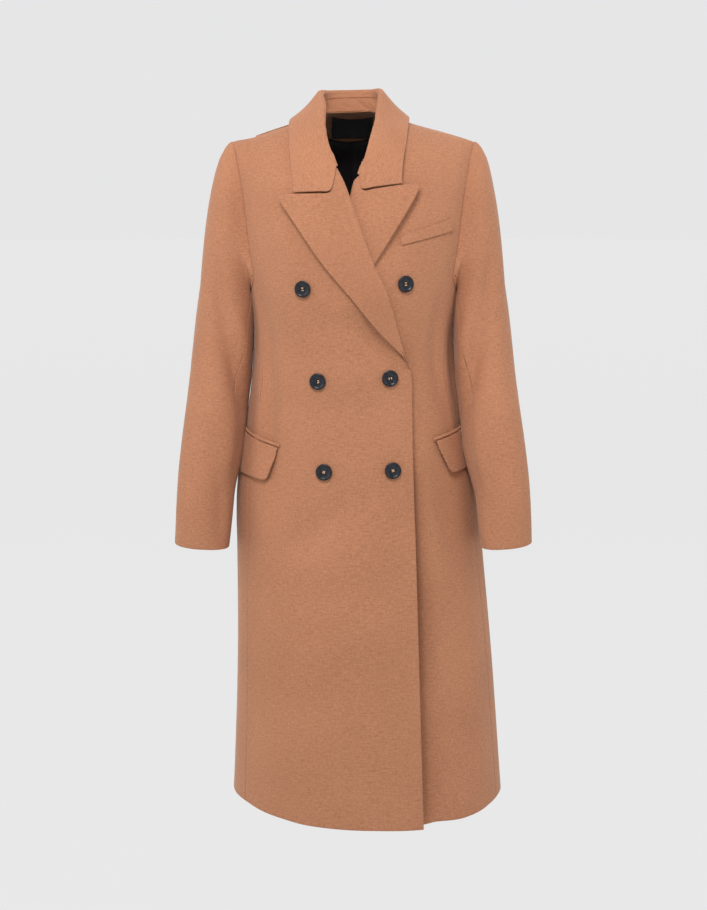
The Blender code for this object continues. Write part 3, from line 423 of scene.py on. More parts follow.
DISH = ((0.0, 0.0024), (0.0030, 0.0024), (0.0066, 0.0026))     # (radius, height) from its middle out
DISH_EDGE = (0.0076, 0.0027)
RIM = (0.0103, 0.0042)
EDGE_MIDDLE = (0.0108, 0.0027)        # of the rounded outer edge, which is this high on either side
EDGE_HALF = 0.0015
BUTTON_BACK = ((0.0096, 0.0004), (0.0, 0.0004))
BUTTON_STEPS = 56
RIM_STEPS, EDGE_STEPS = 6, 8
SHARP_FROM = 50           # degrees
THREAD_RADIUS = 0.00045
THREAD_LEVEL = 0.0022     # height of the threads' ends
THREAD_RISE = 0.0006      # of their middle over that
THREAD_STACK = 0.0004     # the second strand lies this much higher
THREAD_SPREAD = 0.95      # of a strand's two threads from its middle, in radii
THREAD_STEPS = 8          # points along and round each

# Colours, and the sizes of the materials' grain in cells a metre
WOOL_DARK = (0.288, 0.117, 0.059)
WOOL_LIGHT = (0.520, 0.236, 0.129)
WOOL_GRAINS = (
    # name, cells, detail, share of the tone
    ("fibres", 1100.0, 3.0, 0.30),
    ("heather", 330.0, 2.0, 0.22),
    ("weft", (95.0, 620.0, 1.0), 2.0, 0.22),
    ("warp", (620.0, 130.0, 1.0), 2.0, 0.14),
    ("broad", 9.0, 3.0, 0.12),
)
WOOL_TONES = (0.36, 0.64)      # sums of those that give the dark and the light colour
# painted sheen: noise values of the satin's ripples between which its colour turns lighter
SATIN_SHEEN_TONES = (0.3, 0.7)
THREAD_TONES = (0.35, 0.65)
HORN_TONES = (0.58, 0.86)
TWILL_LINES = 260.0
SATIN_BLACK = (0.0085, 0.0070, 0.0085)
LABEL_BLACK = (0.0085, 0.0078, 0.0095)
SATIN_PAINTED_SHEEN = 2.2            # painted sheen: the satin's colour is this much lighter along its ripples
SATIN_RIPPLES = (90.0, 14.0, 1.0)
SATIN_THREADS = 240.0          # of the weave along its ribs, and across them for lining and label:
LINING_RIBS, LABEL_RIBS = 1900.0, 900.0
HORN_DARK = (0.004, 0.005, 0.008)
HORN_LIGHT = (0.022, 0.026, 0.034)
HORN_CLOUDS = 210.0
HORN_VEINS = 520.0
VEIN_SHARE = 0.35
THREAD_DARK = (0.38, 0.20, 0.11)
THREAD_LIGHT = (0.68, 0.42, 0.27)
THREAD_TWIST = 2600.0

# Camera as in the photograph, whose frame is 707 x 910 pixels
PICTURE_HEIGHT = 910
FOCAL_PIXELS = 1769
SENSOR = 36.0             # millimetres
CAMERA_AT = (0.0, -2.75, -0.09)
CAMERA_PITCH = 9.0

SOFTBOXES = (
    # name, place, target, width, height, watts
    ("key", (-0.4, -2.2, 2.1), (0, 0, -0.5), 1.4, 0.9, 80),
    ("left", (-2.6, -0.8, 0.8), (0, 0, -0.5), 1.2, 2.2, 22),
    ("right", (2.6, -0.8, 0.8), (0, 0, -0.5), 1.2, 2.2, 19),
    ("back", (0.6, 3.2, 1.8), (0, 0, -0.4), 2.6, 2.2, 54),
)
WORLD_COLOUR = (0.99, 0.99, 1.0)
WORLD_FADES = (0.14, 0.50)      # heights of the sky's direction between which it grows dimmer
WORLD_STRENGTHS = (0.80, 0.36)
FLOOR_RADIUS = 40.0
FLOOR_SIDES = 96
FLOOR_AT = -1.60
FLOOR_COLOUR = (0.03, 0.03, 0.03)
FLOOR_GLOW = (1.0, 1.0, 1.0)
FLOOR_GLOW_STRENGTH = 0.771


# ---------------------------------------------------------------- helpers
def mix(a, b, t):
    return a + (b - a) * t


def ease(t):
    t = np.clip(t, 0.0, 1.0)
    return t * t * (3 - 2 * t)


def ramp(value, start, end):
    """0 at start, 1 at end, smooth between."""
    return ease((value - start) / (end - start))


def read(rows, key):
    """The other columns of a table at keys in its first column, as smooth curves."""
    table = np.array(sorted(rows))
    places, values = table[:, 0], table[:, 1:]
    last = len(rows) - 1
    key = np.clip(key, places[0], places[-1])
    i = np.clip(np.searchsorted(places, key, side="right") - 1, 0, last - 1)
    before, after = np.maximum(np.arange(last + 1) - 1, 0), np.minimum(np.arange(last + 1) + 1, last)
    slopes = (values[after] - values[before]) / (places[after] - places[before])[:, None]
    step = (places[i + 1] - places[i])[..., None]
    t = (key - places[i])[..., None] / step
    curve = (values[i] * (2 * t ** 3 - 3 * t ** 2 + 1) + values[i + 1] * (3 * t ** 2 - 2 * t ** 3)
             + slopes[i] * step * (t ** 3 - 2 * t ** 2 + t) + slopes[i + 1] * step * (t ** 3 - t ** 2))
    return np.moveaxis(curve, -1, 0)


def along(points, t):
    """The point a share t of the way along a smooth line through some points."""
    lengths = np.cumsum([0.0] + [math.dist(a, b) for a, b in zip(points, points[1:])])
    return read([(length / lengths[-1], *p) for length, p in zip(lengths, points)], t)


def power(value, exponent):
    return np.sign(value) * np.abs(value) ** exponent


def spot(x, y, z):
    return np.stack(np.broadcast_arrays(x, y, z), axis=-1)


def unit(v):
    return v / np.maximum(np.linalg.norm(v, axis=-1, keepdims=True), TINY)


def dot(a, b):
    return (a * b).sum(axis=-1, keepdims=True)


# ---------------------------------------------------------------- form of the body
def neck_points(across):
    """Height of the straight line between the two neck points, at -1 and 1 across the neck."""
    return RIDGE_TOP - RIDGE_SLOPE * (NECK_HALF + NECK_CENTRE * across)


def ridge(x):
    """Height of the shoulder line at x; between the neck points it arches over the open neck."""
    across = (x - NECK_CENTRE) / NECK_HALF
    arch = neck_points(across) + NECK_ARCH * (1 - across ** 2)
    return np.where(np.abs(across) >= 1, RIDGE_TOP - RIDGE_SLOPE * np.abs(x), arch)


def body(angle, z, out=0.0):
    """Points of the body's surface, angle in degrees from the front towards the wearer's left."""
    half, front, back, shift = read(SECTIONS, z)
    turned = np.radians(angle)
    across = power(np.sin(turned), 2 / ROUNDNESS)
    forward = power(np.cos(turned), 2 / ROUNDNESS)
    x = shift + half * across
    below = np.clip((ridge(x) - z) / RIDGE_ROUND, 0.0, 1.0)
    level = np.sqrt(1 - (1 - below) ** 2)
    depth = np.where(forward > 0, front, back)
    return spot(x + out * across * level, -(depth + out) * forward * level,
                z + out * np.sqrt(1 - level ** 2))


def with_hem(z, angle):
    """Heights of a row at some angles: all are flat except towards the hem."""
    share = np.clip((LEVELS[-2] - z) / (LEVELS[-2] - HEM), 0.0, 1.0)
    return z + read(HEM_LINE, angle)[0] * share


def angle_at(x, z, behind=False):
    half, _, _, shift = read(SECTIONS, z)
    share = np.clip((x - shift) / half, -1.0, 1.0)
    angle = np.degrees(np.arcsin(power(share, ROUNDNESS / 2)))
    return np.copysign(180, x) - angle if behind else angle


def right_lift(x, z):
    """How far the right front is lifted, because it laps over the left one."""
    over = ease((x - read(FRONT_EDGE, z)[1] + LIFT_STARTS) / LIFT_RUN)
    return over * ramp(z, *NECK_LIFT_ENDS) * (OVERLAP_LIFT + LAPEL_LIFT * ramp(z, *LAPEL_LIFT_ENDS))


def layer(side, x, z):
    return right_lift(x, z) if side < 0 else 0.0


def on_front(side, x, z, out):
    """Points of the chest at (x, z), moved out from the inner face of that side's front."""
    return body(angle_at(x, z), z, out + layer(side, x, z))


def on_back(x, z, out):
    return body(angle_at(x, z, behind=True), z, out)


def by_side(across, made):
    """What a function gives for the wearer's left where across is above 0, or else for the right."""
    return np.where((across > 0)[..., None], made(1), made(-1))


def clear_of_body(side, place, out):
    """The places, moved outwards where nearer than out to the inner face of the coat's body."""
    x, y, z = np.moveaxis(place, -1, 0)
    _, front_depth, back_depth, _ = read(SECTIONS, z)
    depth = np.where(y < 0, front_depth + layer(side, x, z), back_depth)
    reach = (depth + out) * power(np.cos(np.radians(angle_at(x, z))), 2 / ROUNDNESS)
    middle = ridge(x) - RIDGE_ROUND
    rise = np.maximum(0.0, z - middle)
    share = np.hypot(rise / (RIDGE_ROUND + out), y / reach)
    moved = spot(x, y / share, np.maximum(z, middle + rise / share))
    return np.where(share[..., None] >= 1, place, moved)


def seam_angle(side, z, column):
    angles = read(SEAM_ANGLES, z)
    return side * angles[column] + angles[2]


def edge_x(side, z):
    reach, closing = read(FRONT_EDGE, z)
    return closing - side * reach


def armhole(side, around):
    angle, z = read(ARMHOLE, around)
    return side * angle, z


def grain(angle, z):
    """Where a point of the body lies on the flat cloth, in metres."""
    return angle * CLOTH_METRES, z + 0 * angle


# ---------------------------------------------------------------- forms of the pieces
# Each form gives, for places v down and s across from 0 to 1, the points and their place on the cloth.
def panel_edge(side, stops, column, v):
    """(angle, z) down the outer edge of a front or back: along the armhole, then down the seam."""
    last = len(stops) - 1
    around = np.interp(v, range(last + 1), [ARMHOLE[k][0] for k in stops])
    angle, z = armhole(side, around)
    top_angle, top_z = armhole(side, ARMHOLE[stops[-1]][0])
    heights = [top_z, mix(top_z, LEVELS[0], UNDERARM_STEP), *LEVELS]
    z_seam = np.interp(v, np.arange(len(heights)) + last, heights)
    share = np.clip((z_seam - top_z) / (LEVELS[0] - top_z), 0.0, 1.0)
    straight = mix(top_angle, seam_angle(side, LEVELS[0], column), share)
    seam = np.where(z_seam > LEVELS[0], straight, seam_angle(side, z_seam, column))
    return np.where(v <= last, angle, seam), np.where(v <= last, z, z_seam)


def front_form(side):
    stops = range(FRONT_SEAM_STOP + 1)
    top_z = ARMHOLE[FRONT_SEAM_STOP][2]
    low = [mix(top_z, LEVELS[0], UNDERARM_STEP), *LEVELS]
    neck_x = edge_x(side, 0.0)
    neck_angle, neck_z = angle_at(neck_x, 0.0), ridge(neck_x)
    tip_angle, tip_z = armhole(side, 0)
    row_z = [float(neck_z), *FRONT_TOP_ROWS[1:], *low]
    row_edge = [*FRONT_TOP_ROWS, *low]
    inset = side * HALF_SEAM

    def form(v, s):
        v = v * (len(row_z) - 1)
        z_in = np.interp(v, range(len(row_z)), row_z)
        z_edge = np.interp(v, range(len(row_z)), row_edge)
        back = ROLL_BACK * ramp(z_in, *ROLL_BACK_STARTS) * ramp(z_in, *ROLL_BACK_ENDS)
        inner = angle_at(edge_x(side, z_edge) + side * back, z_in)
        outer, z_out = panel_edge(side, stops, 0, v)
        outer = outer - inset * np.clip(v - FRONT_SEAM_STOP, 0, 1)
        angle, z = mix(inner, outer, s), mix(z_in, z_out, s)
        line_angle, line_z = mix(neck_angle, tip_angle, s), mix(neck_z, tip_z, s)
        top = line_z
        for _ in range(LINE_STEPS):
            top = ridge(body(line_angle, top)[..., 0])
        shoulder = top - line_z
        z = with_hem(z + np.maximum(0.0, 1 - v / SHOULDER_ROWS) ** 2 * shoulder, angle)
        x = body(angle, z)[..., 0]
        points = body(angle, z, CLOTH + layer(side, x, z))
        points[..., 1] -= SEAM / 2 * (v + 0 * s < SEAM_ROW)
        return points, *grain(angle, z)

    return form


def side_form(side):
    inset = side * HALF_SEAM
    arounds = [ARMHOLE[k][0] for k in range(FRONT_SEAM_STOP, BACK_SEAM_STOP + 1)]

    def form(v, s):
        v = v * (len(LEVELS) + 1)
        angle_arc, z_arc = armhole(side, np.interp(s, np.linspace(0, 1, len(arounds)), arounds))
        share = np.interp(v, (0, 1, 2), (0, UNDERARM_STEP, 1))
        z_level = np.interp(v - 2, range(len(LEVELS)), LEVELS)
        angle = mix(seam_angle(side, z_level, 0), seam_angle(side, z_level, 1), s)
        angle = mix(angle_arc, angle, share) + inset * (1 - 2 * s)
        z = with_hem(mix(z_arc, z_level, share), angle)
        return body(angle, z, CLOTH), *grain(angle, z)

    return form


def back_neck(x):
    """Height of the back neckline at x."""
    across = (x - NECK_CENTRE) / NECK_HALF
    return neck_points(across) + BACK_NECK_RISE - (BACK_NECK_RISE + NECK_EASE) * across ** 2


def back_form(side):
    inset = side * HALF_SEAM
    last_stop = len(ARMHOLE) - 1
    stops = range(last_stop, BACK_SEAM_STOP - 1, -1)
    tip_angle, tip_z = armhole(side, 360)
    neck_x = edge_x(side, 0.0)
    neck_angle = np.abs(angle_at(neck_x, ridge(neck_x), behind=True))
    split = (180 - neck_angle) / (180 - np.abs(tip_angle))
    top_z = ARMHOLE[BACK_SEAM_STOP][2]
    rows = [*BACK_TOP_ROWS, mix(top_z, LEVELS[0], UNDERARM_STEP), *LEVELS]

    def form(v, s):
        v = v * (len(rows) - 1)
        z_in = np.interp(v, range(len(rows)), rows)
        turn = read(SEAM_ANGLES, z_in)[2] * (v > len(BACK_TOP_ROWS) - 1)
        inner = side * 180 + turn + inset * CENTRE_CLOSED
        outer, z_out = panel_edge(side, stops, 1, v)
        outer = outer + inset * np.clip(v - len(BACK_TOP_ROWS) + 1, 0, 1)
        angle, z = mix(inner, outer, s), mix(z_in, z_out, s)
        line_angle, line_z = mix(side * 180, tip_angle, s), mix(back_neck(0), tip_z, s)
        wanted = line_z
        for _ in range(LINE_STEPS):
            x = body(line_angle, wanted)[..., 0]
            wanted = np.where(s >= split, ridge(x), np.minimum(back_neck(x), ridge(x) - NECK_EASE))
        z = with_hem(z + np.maximum(0.0, 1 - v / SHOULDER_ROWS) ** 2 * (wanted - line_z), angle)
        points = body(angle, z, CLOTH)
        points[..., 1] += SEAM / 2 * (v + 0 * s < SEAM_ROW)
        return points, *grain(angle, z)

    return form


def wandered(around, down):
    """Angles on the sleeve of places of the armhole, because its two seams run aslant."""
    front, back = read(SLEEVE_SEAMS, down)
    _, front_top, back_top = SLEEVE_SEAMS[0]
    under = mix(front, back, (around - front_top) / (back_top - front_top))
    behind = mix(back, 360, (around - back_top) / (360 - back_top))
    past_front = np.where(around < back_top, under, behind)
    return np.where(around < front_top, around / front_top * front, past_front)


def sleeve_form(side, first, last):
    """A piece of a sleeve between two places of the armhole, given as angles round it."""
    def form(down, s):
        around = mix(first + SPLIT, last - SPLIT, s) % 360
        angle, z_arm = armhole(side, around)
        start = body(angle, z_arm, CLOTH)
        from_top = np.minimum(around, 360 - around)
        start[..., 0] += side * mix(SET_IN_TOP, SET_IN, ease(from_top / SET_IN_FADE))
        forward, nearer, narrower, cuff = FOREARMS[side]
        z = mix(z_arm, cuff, down)
        outer, inner, middle_y, depth = read(SLEEVE, z)
        below_elbow = ramp(z, *ELBOW)
        middle_y = middle_y - forward * below_elbow
        outer = outer - nearer * below_elbow - SLEEVE_SLIMMER[side] * ramp(z, *SLIMMER_STARTS)
        inner = inner + narrower * ramp(z, *WRIST) - nearer * below_elbow
        inner = inner - SLEEVE_TOUCH * ramp(z, *TOUCH_STARTS) * ramp(z, *TOUCH_ENDS)
        middle_x, half = (outer + inner) / 2, (outer - inner) / 2
        turned = np.radians(wandered(around, down + 0 * s))
        ring_x = side * (middle_x + half * power(np.cos(turned), 2 / SLEEVE_ROUNDNESS))
        ring_y = middle_y - depth * power(np.sin(turned), 2 / SLEEVE_ROUNDNESS)
        share = np.minimum(1.0, down / CAP_BLEND)
        weight = 1 - (1 - share) ** CAP_EASE
        level, slant = CUFF_SLANT[side]
        points = spot(mix(start[..., 0], ring_x, weight), mix(start[..., 1], ring_y, weight),
                      mix(start[..., 2], z, share) + down ** CUFF_FADE * (level + slant * np.cos(turned)))
        on_arm = np.degrees(np.arctan2((middle_y - points[..., 1]) / depth,
                                       (side * points[..., 0] - middle_x) / half)) % 360
        on_arm = np.where((first > 180) & (on_arm < 180), on_arm + 360, on_arm)
        return points, on_arm * ARM_METRES, points[..., 2]

    return form


def lapel_form(side):
    """From the inside of the soft roll at the front's edge, over it, to the lapel's outer edge."""
    top = LAPEL_TOP[side]
    first, second, last = LAPEL_HEIGHTS

    def flat(t, s):
        """(x, z) on the chest and the distance from it, a share t down the lapel and s across."""
        z_row = mix(first, last, t)
        z_roll = np.minimum(z_row, second)
        near = np.clip((first - z_row) / (first - second), 0, 1)
        x_roll = edge_x(side, z_roll) + side * LAPEL_INSET
        start = mix(top[0][0], x_roll, near), mix(top[0][1], z_roll, near)
        corner, end = along(top, s), along(LAPEL_OUTER[side], t)
        x, z = (mix(a, b, s) + (1 - t) ** GORGE_FADE * (c - mix(d, e, s)) * (s > 0)
                for a, b, c, d, e in zip(start, end, corner, top[0], top[-1]))
        z = z - GORGE_GAP * (1 - near)
        gap = LAPEL_GAP + LAPEL_ROLL * ramp(z_row, *ROLL_FADES) * (1 - ROLL_FLATTENS * s)
        return x, z, gap + LAPEL_STAND_OFF[side] * s ** 2 * ramp(z, STAND_OFF_ENDS[side], STAND_OFF_STARTS)

    def form(t, s):
        over = np.clip((s - ROLL_SHARE) / (1 - ROLL_SHARE), 0, 1)
        x, z, gap = flat(t, over)
        out = 2 * CLOTH + gap
        turn = np.pi * np.clip(1 - s / ROLL_SHARE, 0, 1)
        radius = (out + ROLL_UNDER) / 2
        bulge = radius * mix(1, ROLL_LEFT, ramp(t, *ROLL_DIES))
        # the roll's outermost line stays on the edge of the front, so the flat part starts inside it
        x = x + side * bulge * ((1 - over) ** ROLL_FLAT - np.sin(turn) * (s < ROLL_SHARE))
        under = out - radius * (1 - np.cos(turn))
        return on_front(side, x, z, under), side * over * LAPEL_WIDTH - turn * ROLL_WIDTH + 0 * z, z

    return form


def neck_seam(u):
    """Points of the neckline, where the stand is sewn on, from -1 to 1 along the collar."""
    side = np.where(u > 0, 1, -1)
    ahead = (np.abs(u) - SHOULDER_AT) / (1 - SHOULDER_AT)
    last_z = np.where(u > 0, COLLAR_FOLD[-1][3], COLLAR_FOLD[0][3])
    z = mix(ridge(NECK_HALF) - NECK_EASE, last_z, ahead)
    reach, closing = read(FRONT_EDGE, z)
    x = closing - side * reach
    in_front = body(angle_at(x, z), z, CLOTH / 2)
    x = NECK_CENTRE + side * NECK_HALF * np.sin(np.abs(u) / SHOULDER_AT * np.pi / 2)
    behind = on_back(x, np.minimum(back_neck(x), ridge(x) - NECK_EASE), CLOTH / 2)
    return np.where((ahead >= 0)[..., None], in_front, behind)


def collar_frame(u):
    """Fold, outer edge and neck seam of the collar, and the directions into its two legs."""
    fold, edge = spot(*read(COLLAR_FOLD, u)), spot(*read(COLLAR_EDGE, u))
    seam = neck_seam(u)
    seam = seam + unit(fold - seam) * NECK_GAP
    step = 0.5 / COLLAR_STATIONS
    ahead = unit(spot(*read(COLLAR_FOLD, u + step)) - spot(*read(COLLAR_FOLD, u - step)))

    def leg(end):
        run = end - fold
        return unit(run - ahead * dot(run, ahead))

    inward, outward = leg(seam), leg(edge)
    return fold, edge, seam, -unit(inward + outward), unit(outward - inward)


def into_neck(fold, seam, crest, across):
    """Inner end of the fold's arc, the direction down the stand, and the fall's reach down it."""
    top = fold - (crest + across) * FOLD_RADIUS
    down = seam - top
    length = np.linalg.norm(down, axis=-1, keepdims=True)
    return top, unit(down), np.minimum(FOLD_INSIDE, FOLD_SHARE * length)


def fall_form(v, s):
    """From just inside the neck, over the fold, to the collar's outer edge."""
    u = 2 * v + 0 * s - 1
    s = s + 0 * v
    fold, edge, seam, crest, across = collar_frame(u)
    _, down, reach = into_neck(fold, seam, crest, across)
    turn = (np.pi * np.clip((s - FALL_INSIDE) / (FALL_OVER - FALL_INSIDE), 0, 1))[..., None]
    arc = fold + (crest * (np.sin(turn) - 1) - across * np.cos(turn)) * FOLD_RADIUS
    arc = arc + down * reach * np.clip(1 - s / FALL_INSIDE, 0, 1)[..., None]
    rolled = by_side(u, lambda side: clear_of_body(side, arc, FOLD_CLEAR))
    out = np.clip((s - FALL_OVER) / (1 - FALL_OVER), 0, 1)
    straight = mix(rolled, edge, out[..., None])
    clear = mix(FOLD_CLEAR, 2 * CLOTH + COLLAR_CLEAR, ease(out * CLEAR_SOON))
    flat = by_side(u, lambda side: clear_of_body(side, straight, clear))
    off = 2 * CLOTH + LAPEL_GAP + COLLAR_END_LIFT - COLLAR_END_TUCK * np.clip(1 - s / FALL_OVER, 0, 1)

    def at_lapel(side):
        x, z = along(LAPEL_TOP[side][:-1], out)
        return on_front(side, x, z + GORGE_GAP, off)

    share = ramp(np.abs(u), COLLAR_END_FROM, 1.0)[..., None]
    return mix(flat, by_side(u, at_lapel), share), u * COLLAR_HALF_LENGTH, s * COLLAR_WIDTH


def stand_form(v, s):
    u = (2 * v - 1) * STAND_STATIONS / COLLAR_STATIONS + 0 * s
    s = s + 0 * v
    fold, _, seam, crest, across = collar_frame(u)
    top, down, reach = into_neck(fold, seam, crest, across)
    start = top + down * (reach + STAND_LAP)
    start[..., 1] += STAND_BEHIND
    seam[..., 2] += foot_rise(seam[..., 0])
    return mix(start, seam, s[..., None]), u * COLLAR_HALF_LENGTH, s * COLLAR_WIDTH / 2


def foot_rise(x):
    return FOOT_STRAIGHTER * np.clip(np.abs(x - NECK_CENTRE) / FOOT_HALF, 0, 1) ** 2


def facing_top(x):
    return back_neck(x) + FACING_OVER_NECK + foot_rise(x)


def facing_low(x):
    return FACING_LOW + FACING_RISE * ((x - NECK_CENTRE) / FACING_HALF) ** 2


def lining_top(x):
    return np.minimum(facing_low(x), ridge(x) - LINING_BELOW_RIDGE) - RIM_SHOWS


def label_top(x):
    """The label's upper edge sags a little between its two sewn ends."""
    return LABEL_TOP - LABEL_SAG * (1 - ((x - LABEL_CENTRE) / LABEL_HALF) ** 2)


def inside_form(half, top, low, out, centre=NECK_CENTRE):
    """A sheet on the inner face of the backs, which reaches half to each side of its centre."""
    def form(v, s):
        x = centre + mix(-half, half, s)
        z = mix(top(x), low(x), v)
        return on_back(x, z, out), x + 0 * z, z

    return form


def flap_form(side):
    inner, z_inner, rise, low_inner, z_low, low_rise = FLAPS[side]

    def form(v, s):
        edge = mix(inner, low_inner, v)
        angle = mix(edge, FLAP_OUTER_ANGLE[side], s)
        upper = z_inner + rise * (angle - inner)
        lower = z_low + low_rise * (angle - low_inner)
        from_edge = np.radians(angle - edge) * SEAM_RADIUS
        lift = np.maximum(0.0, 1 - from_edge / FLAP_CORNER)
        lower = lower + FLAP_CORNER * (1 - np.sqrt(1 - lift ** 2))
        z = mix(upper, lower, v)
        x = body(side * angle, z)[..., 0]
        stand_off = FLAP_STAND_OFF * (1 - ramp(angle, *FLAP_LIES_CLOSE))
        out = layer(side, x, z) + 2 * CLOTH + FLAP_GAP + stand_off * ease(v)
        return body(side * angle, z, out), *grain(side * angle, z)

    return form


def jet_form(side):
    inner, z_inner, rise = FLAPS[side][:3]

    def form(v, s):
        angle = mix(inner - JET_LONGER, FLAP_OUTER_ANGLE[side], s)
        z = z_inner + rise * (angle - inner) + SEAM + JET_WIDTH * (1 - v)
        x = body(side * angle, z)[..., 0]
        crown = JET_CROWN * np.sin(np.pi * v) ** JET_ROUND
        return body(side * angle, z, layer(side, x, z) + CLOTH + JET_GAP + crown), *grain(side * angle, z)

    return form


def welt_form(v, s):
    x, z = (mix(mix(upper_in, upper_out, s), mix(lower_in, lower_out, s), v)
            for upper_in, upper_out, lower_out, lower_in in zip(*WELT))
    return on_front(1, x, z, CLOTH + WELT_GAP + THIN), *grain(angle_at(x, z), z)


# ---------------------------------------------------------------- cloth shells
def creased(table, a, b):
    """How far some places of the cloth are pushed out by its troughs and ridges."""
    total = np.zeros(np.broadcast(a, b).shape)
    for a0, b0, a1, b1, width, height in table:
        run = (a1 - a0) ** 2 + (b1 - b0) ** 2
        t = np.clip(((a - a0) * (a1 - a0) + (b - b0) * (b1 - b0)) / run, 0.0, 1.0)
        away = np.hypot(a - mix(a0, a1, t), b - mix(b0, b1, t)) / width
        total = total + height * np.sin(np.pi * mix(*FOLD_SHARES, t)) * np.exp(-away ** 2)
    return total


def edge_steps(length, radius, count):
    """Distances along a length: close together over the rounded edge at both ends, even between."""
    corner = min(radius, length / EDGE_MOST) * (1 - np.cos(np.radians(EDGE_TURNS)))
    middle = np.linspace(corner[-1], length - corner[-1], count + 1)
    return np.concatenate([corner[:-1], middle, length - corner[-2::-1]])


def normals(points, sign):
    down, across = np.gradient(points, axis=0), np.gradient(points, axis=1)
    return sign * unit(np.cross(down, across))


def lengths_along(points, axis):
    """Distances from the first point, along rows or down columns."""
    runs = np.linalg.norm(np.diff(points, axis=axis), axis=-1)
    start = np.zeros_like(runs[:1]) if axis == 0 else np.zeros_like(runs[:, :1])
    return np.concatenate([start, np.cumsum(runs, axis=axis)], axis=axis)


def laid_out(form, radius, step, across):
    """A grid of places (v, s) whose rows are a step apart on the surface, and its columns across."""
    v = np.linspace(0, 1, TRIED[0]) ** 2
    reach = lengths_along(form(v[:, None], np.array([TRIED_COLUMNS]))[0], 0)
    long = reach[-1].max()
    wanted = edge_steps(long, radius, max(2, round(long / step)))
    rows = np.interp(wanted, reach.mean(axis=1) / reach[-1].mean() * long, v)
    s = np.linspace(0, 1, TRIED[1])
    reach = lengths_along(form(rows[:, None], s[None, :])[0], 1)
    count = max(2, round(reach[:, -1].max() / across))
    columns = [np.interp(edge_steps(row[-1], radius, count), row, s) for row in reach]
    return rows[:, None], np.array(columns)


def settled(points):
    """The cloth as it hangs on the shoulders: their ends ride up, the collar sinks and draws in."""
    x, y, z = np.moveaxis(points, -1, 0)

    def ends(side):
        return ramp(x, *SHOULDER_END[side]), COLLAR_DRAW[side] * ramp(x, *COLLAR_DRAWN[side])

    end, draw = np.where(x < 0, ends(-1), ends(1))
    collar = ramp(z, *COLLAR_SINKS)
    lift = SHOULDER_LIFT * end * ramp(z, *SHOULDER_LIFTS) - COLLAR_SINK * collar
    return spot(x + collar * draw, y, z + lift)


def smoothed(points, times):
    """The points with small steps down the grid worn away; both ends stay."""
    for _ in range(times):
        points[1:-1] = (points[:-2] + 2 * points[1:-1] + points[2:]) / 4
    return points


def placed(name, data):
    made = bpy.data.objects.new(name, data)
    bpy.context.scene.collection.objects.link(made)
    return made


def shell(name, form, wall, flip, stuffs, folds=(), step=GRID, across=None, soft=1.0, smooth=0,
          wool_inside=None):
    """A closed wall of cloth on a form, with rounded edges.  flip turns its outer side round."""
    sign = -1 if flip else 1
    radius = wall / 2 * soft
    v, s = laid_out(form, radius, step, across or step)
    points, a, b = form(v, s)
    points = smoothed(settled(points), smooth)
    places = spot(a, b, 0 * s)[..., :2]
    points = points + normals(points, sign) * creased(folds, a, b)[..., None]
    outward = normals(points, sign)
    down, aside = lengths_along(points, 0), lengths_along(points, 1)
    away = np.minimum(np.minimum(down, down[-1:] - down), np.minimum(aside, aside[:, -1:] - aside))
    share = np.clip(away / radius, 0, 1)
    drop = wall / 2 * (1 - np.sqrt(1 - (1 - share) ** 2))[..., None]
    upper, lower = points - outward * drop, points - outward * (wall - drop)
    rows, columns = share.shape
    top = np.arange(rows * columns).reshape(rows, columns)
    low = top.copy()
    low[1:-1, 1:-1] = np.arange((rows - 2) * (columns - 2)).reshape(rows - 2, columns - 2) + rows * columns

    def both(outer, inner):
        """What the two faces hold, where the edge's points belong to the first alone."""
        return np.concatenate([outer.reshape(rows * columns, -1),
                               inner[1:-1, 1:-1].reshape((rows - 2) * (columns - 2), -1)])

    def quads(grid, turned):
        corners = [grid[:-1, :-1], grid[1:, :-1], grid[1:, 1:], grid[:-1, 1:]]
        return np.stack(corners[::-1] if turned else corners, axis=-1).reshape(-1, 4)

    faces = np.concatenate([quads(top, flip), quads(low, not flip)])
    mesh = bpy.data.meshes.new(name)
    mesh.from_pydata(both(upper, lower).tolist(), [], faces.tolist())
    cloth = both(places, places)[faces.reshape(-1)]
    mesh.uv_layers.new(name="cloth").data.foreach_set("uv", cloth.reshape(-1))
    mesh.shade_smooth()
    for stuff in stuffs:
        mesh.materials.append(stuff)
    if wool_inside is not None:
        inner = np.zeros(len(faces), int)
        middle = (lower[:-1, :-1] + lower[1:, 1:]) / 2
        lined = middle[..., 2] > middle[..., 2].min() + HEM_FACING
        if wool_inside:
            lined &= aside[:-1, :-1] > FRONT_FACING
        lined &= (middle[..., 2] < NECK_WOOL) | (np.abs(middle[..., 0]) > NECK_WOOL_HALF)
        inner[len(faces) // 2:] = lined.reshape(-1)
        mesh.polygons.foreach_set("material_index", inner)
    mesh.update()
    return placed(name, mesh)


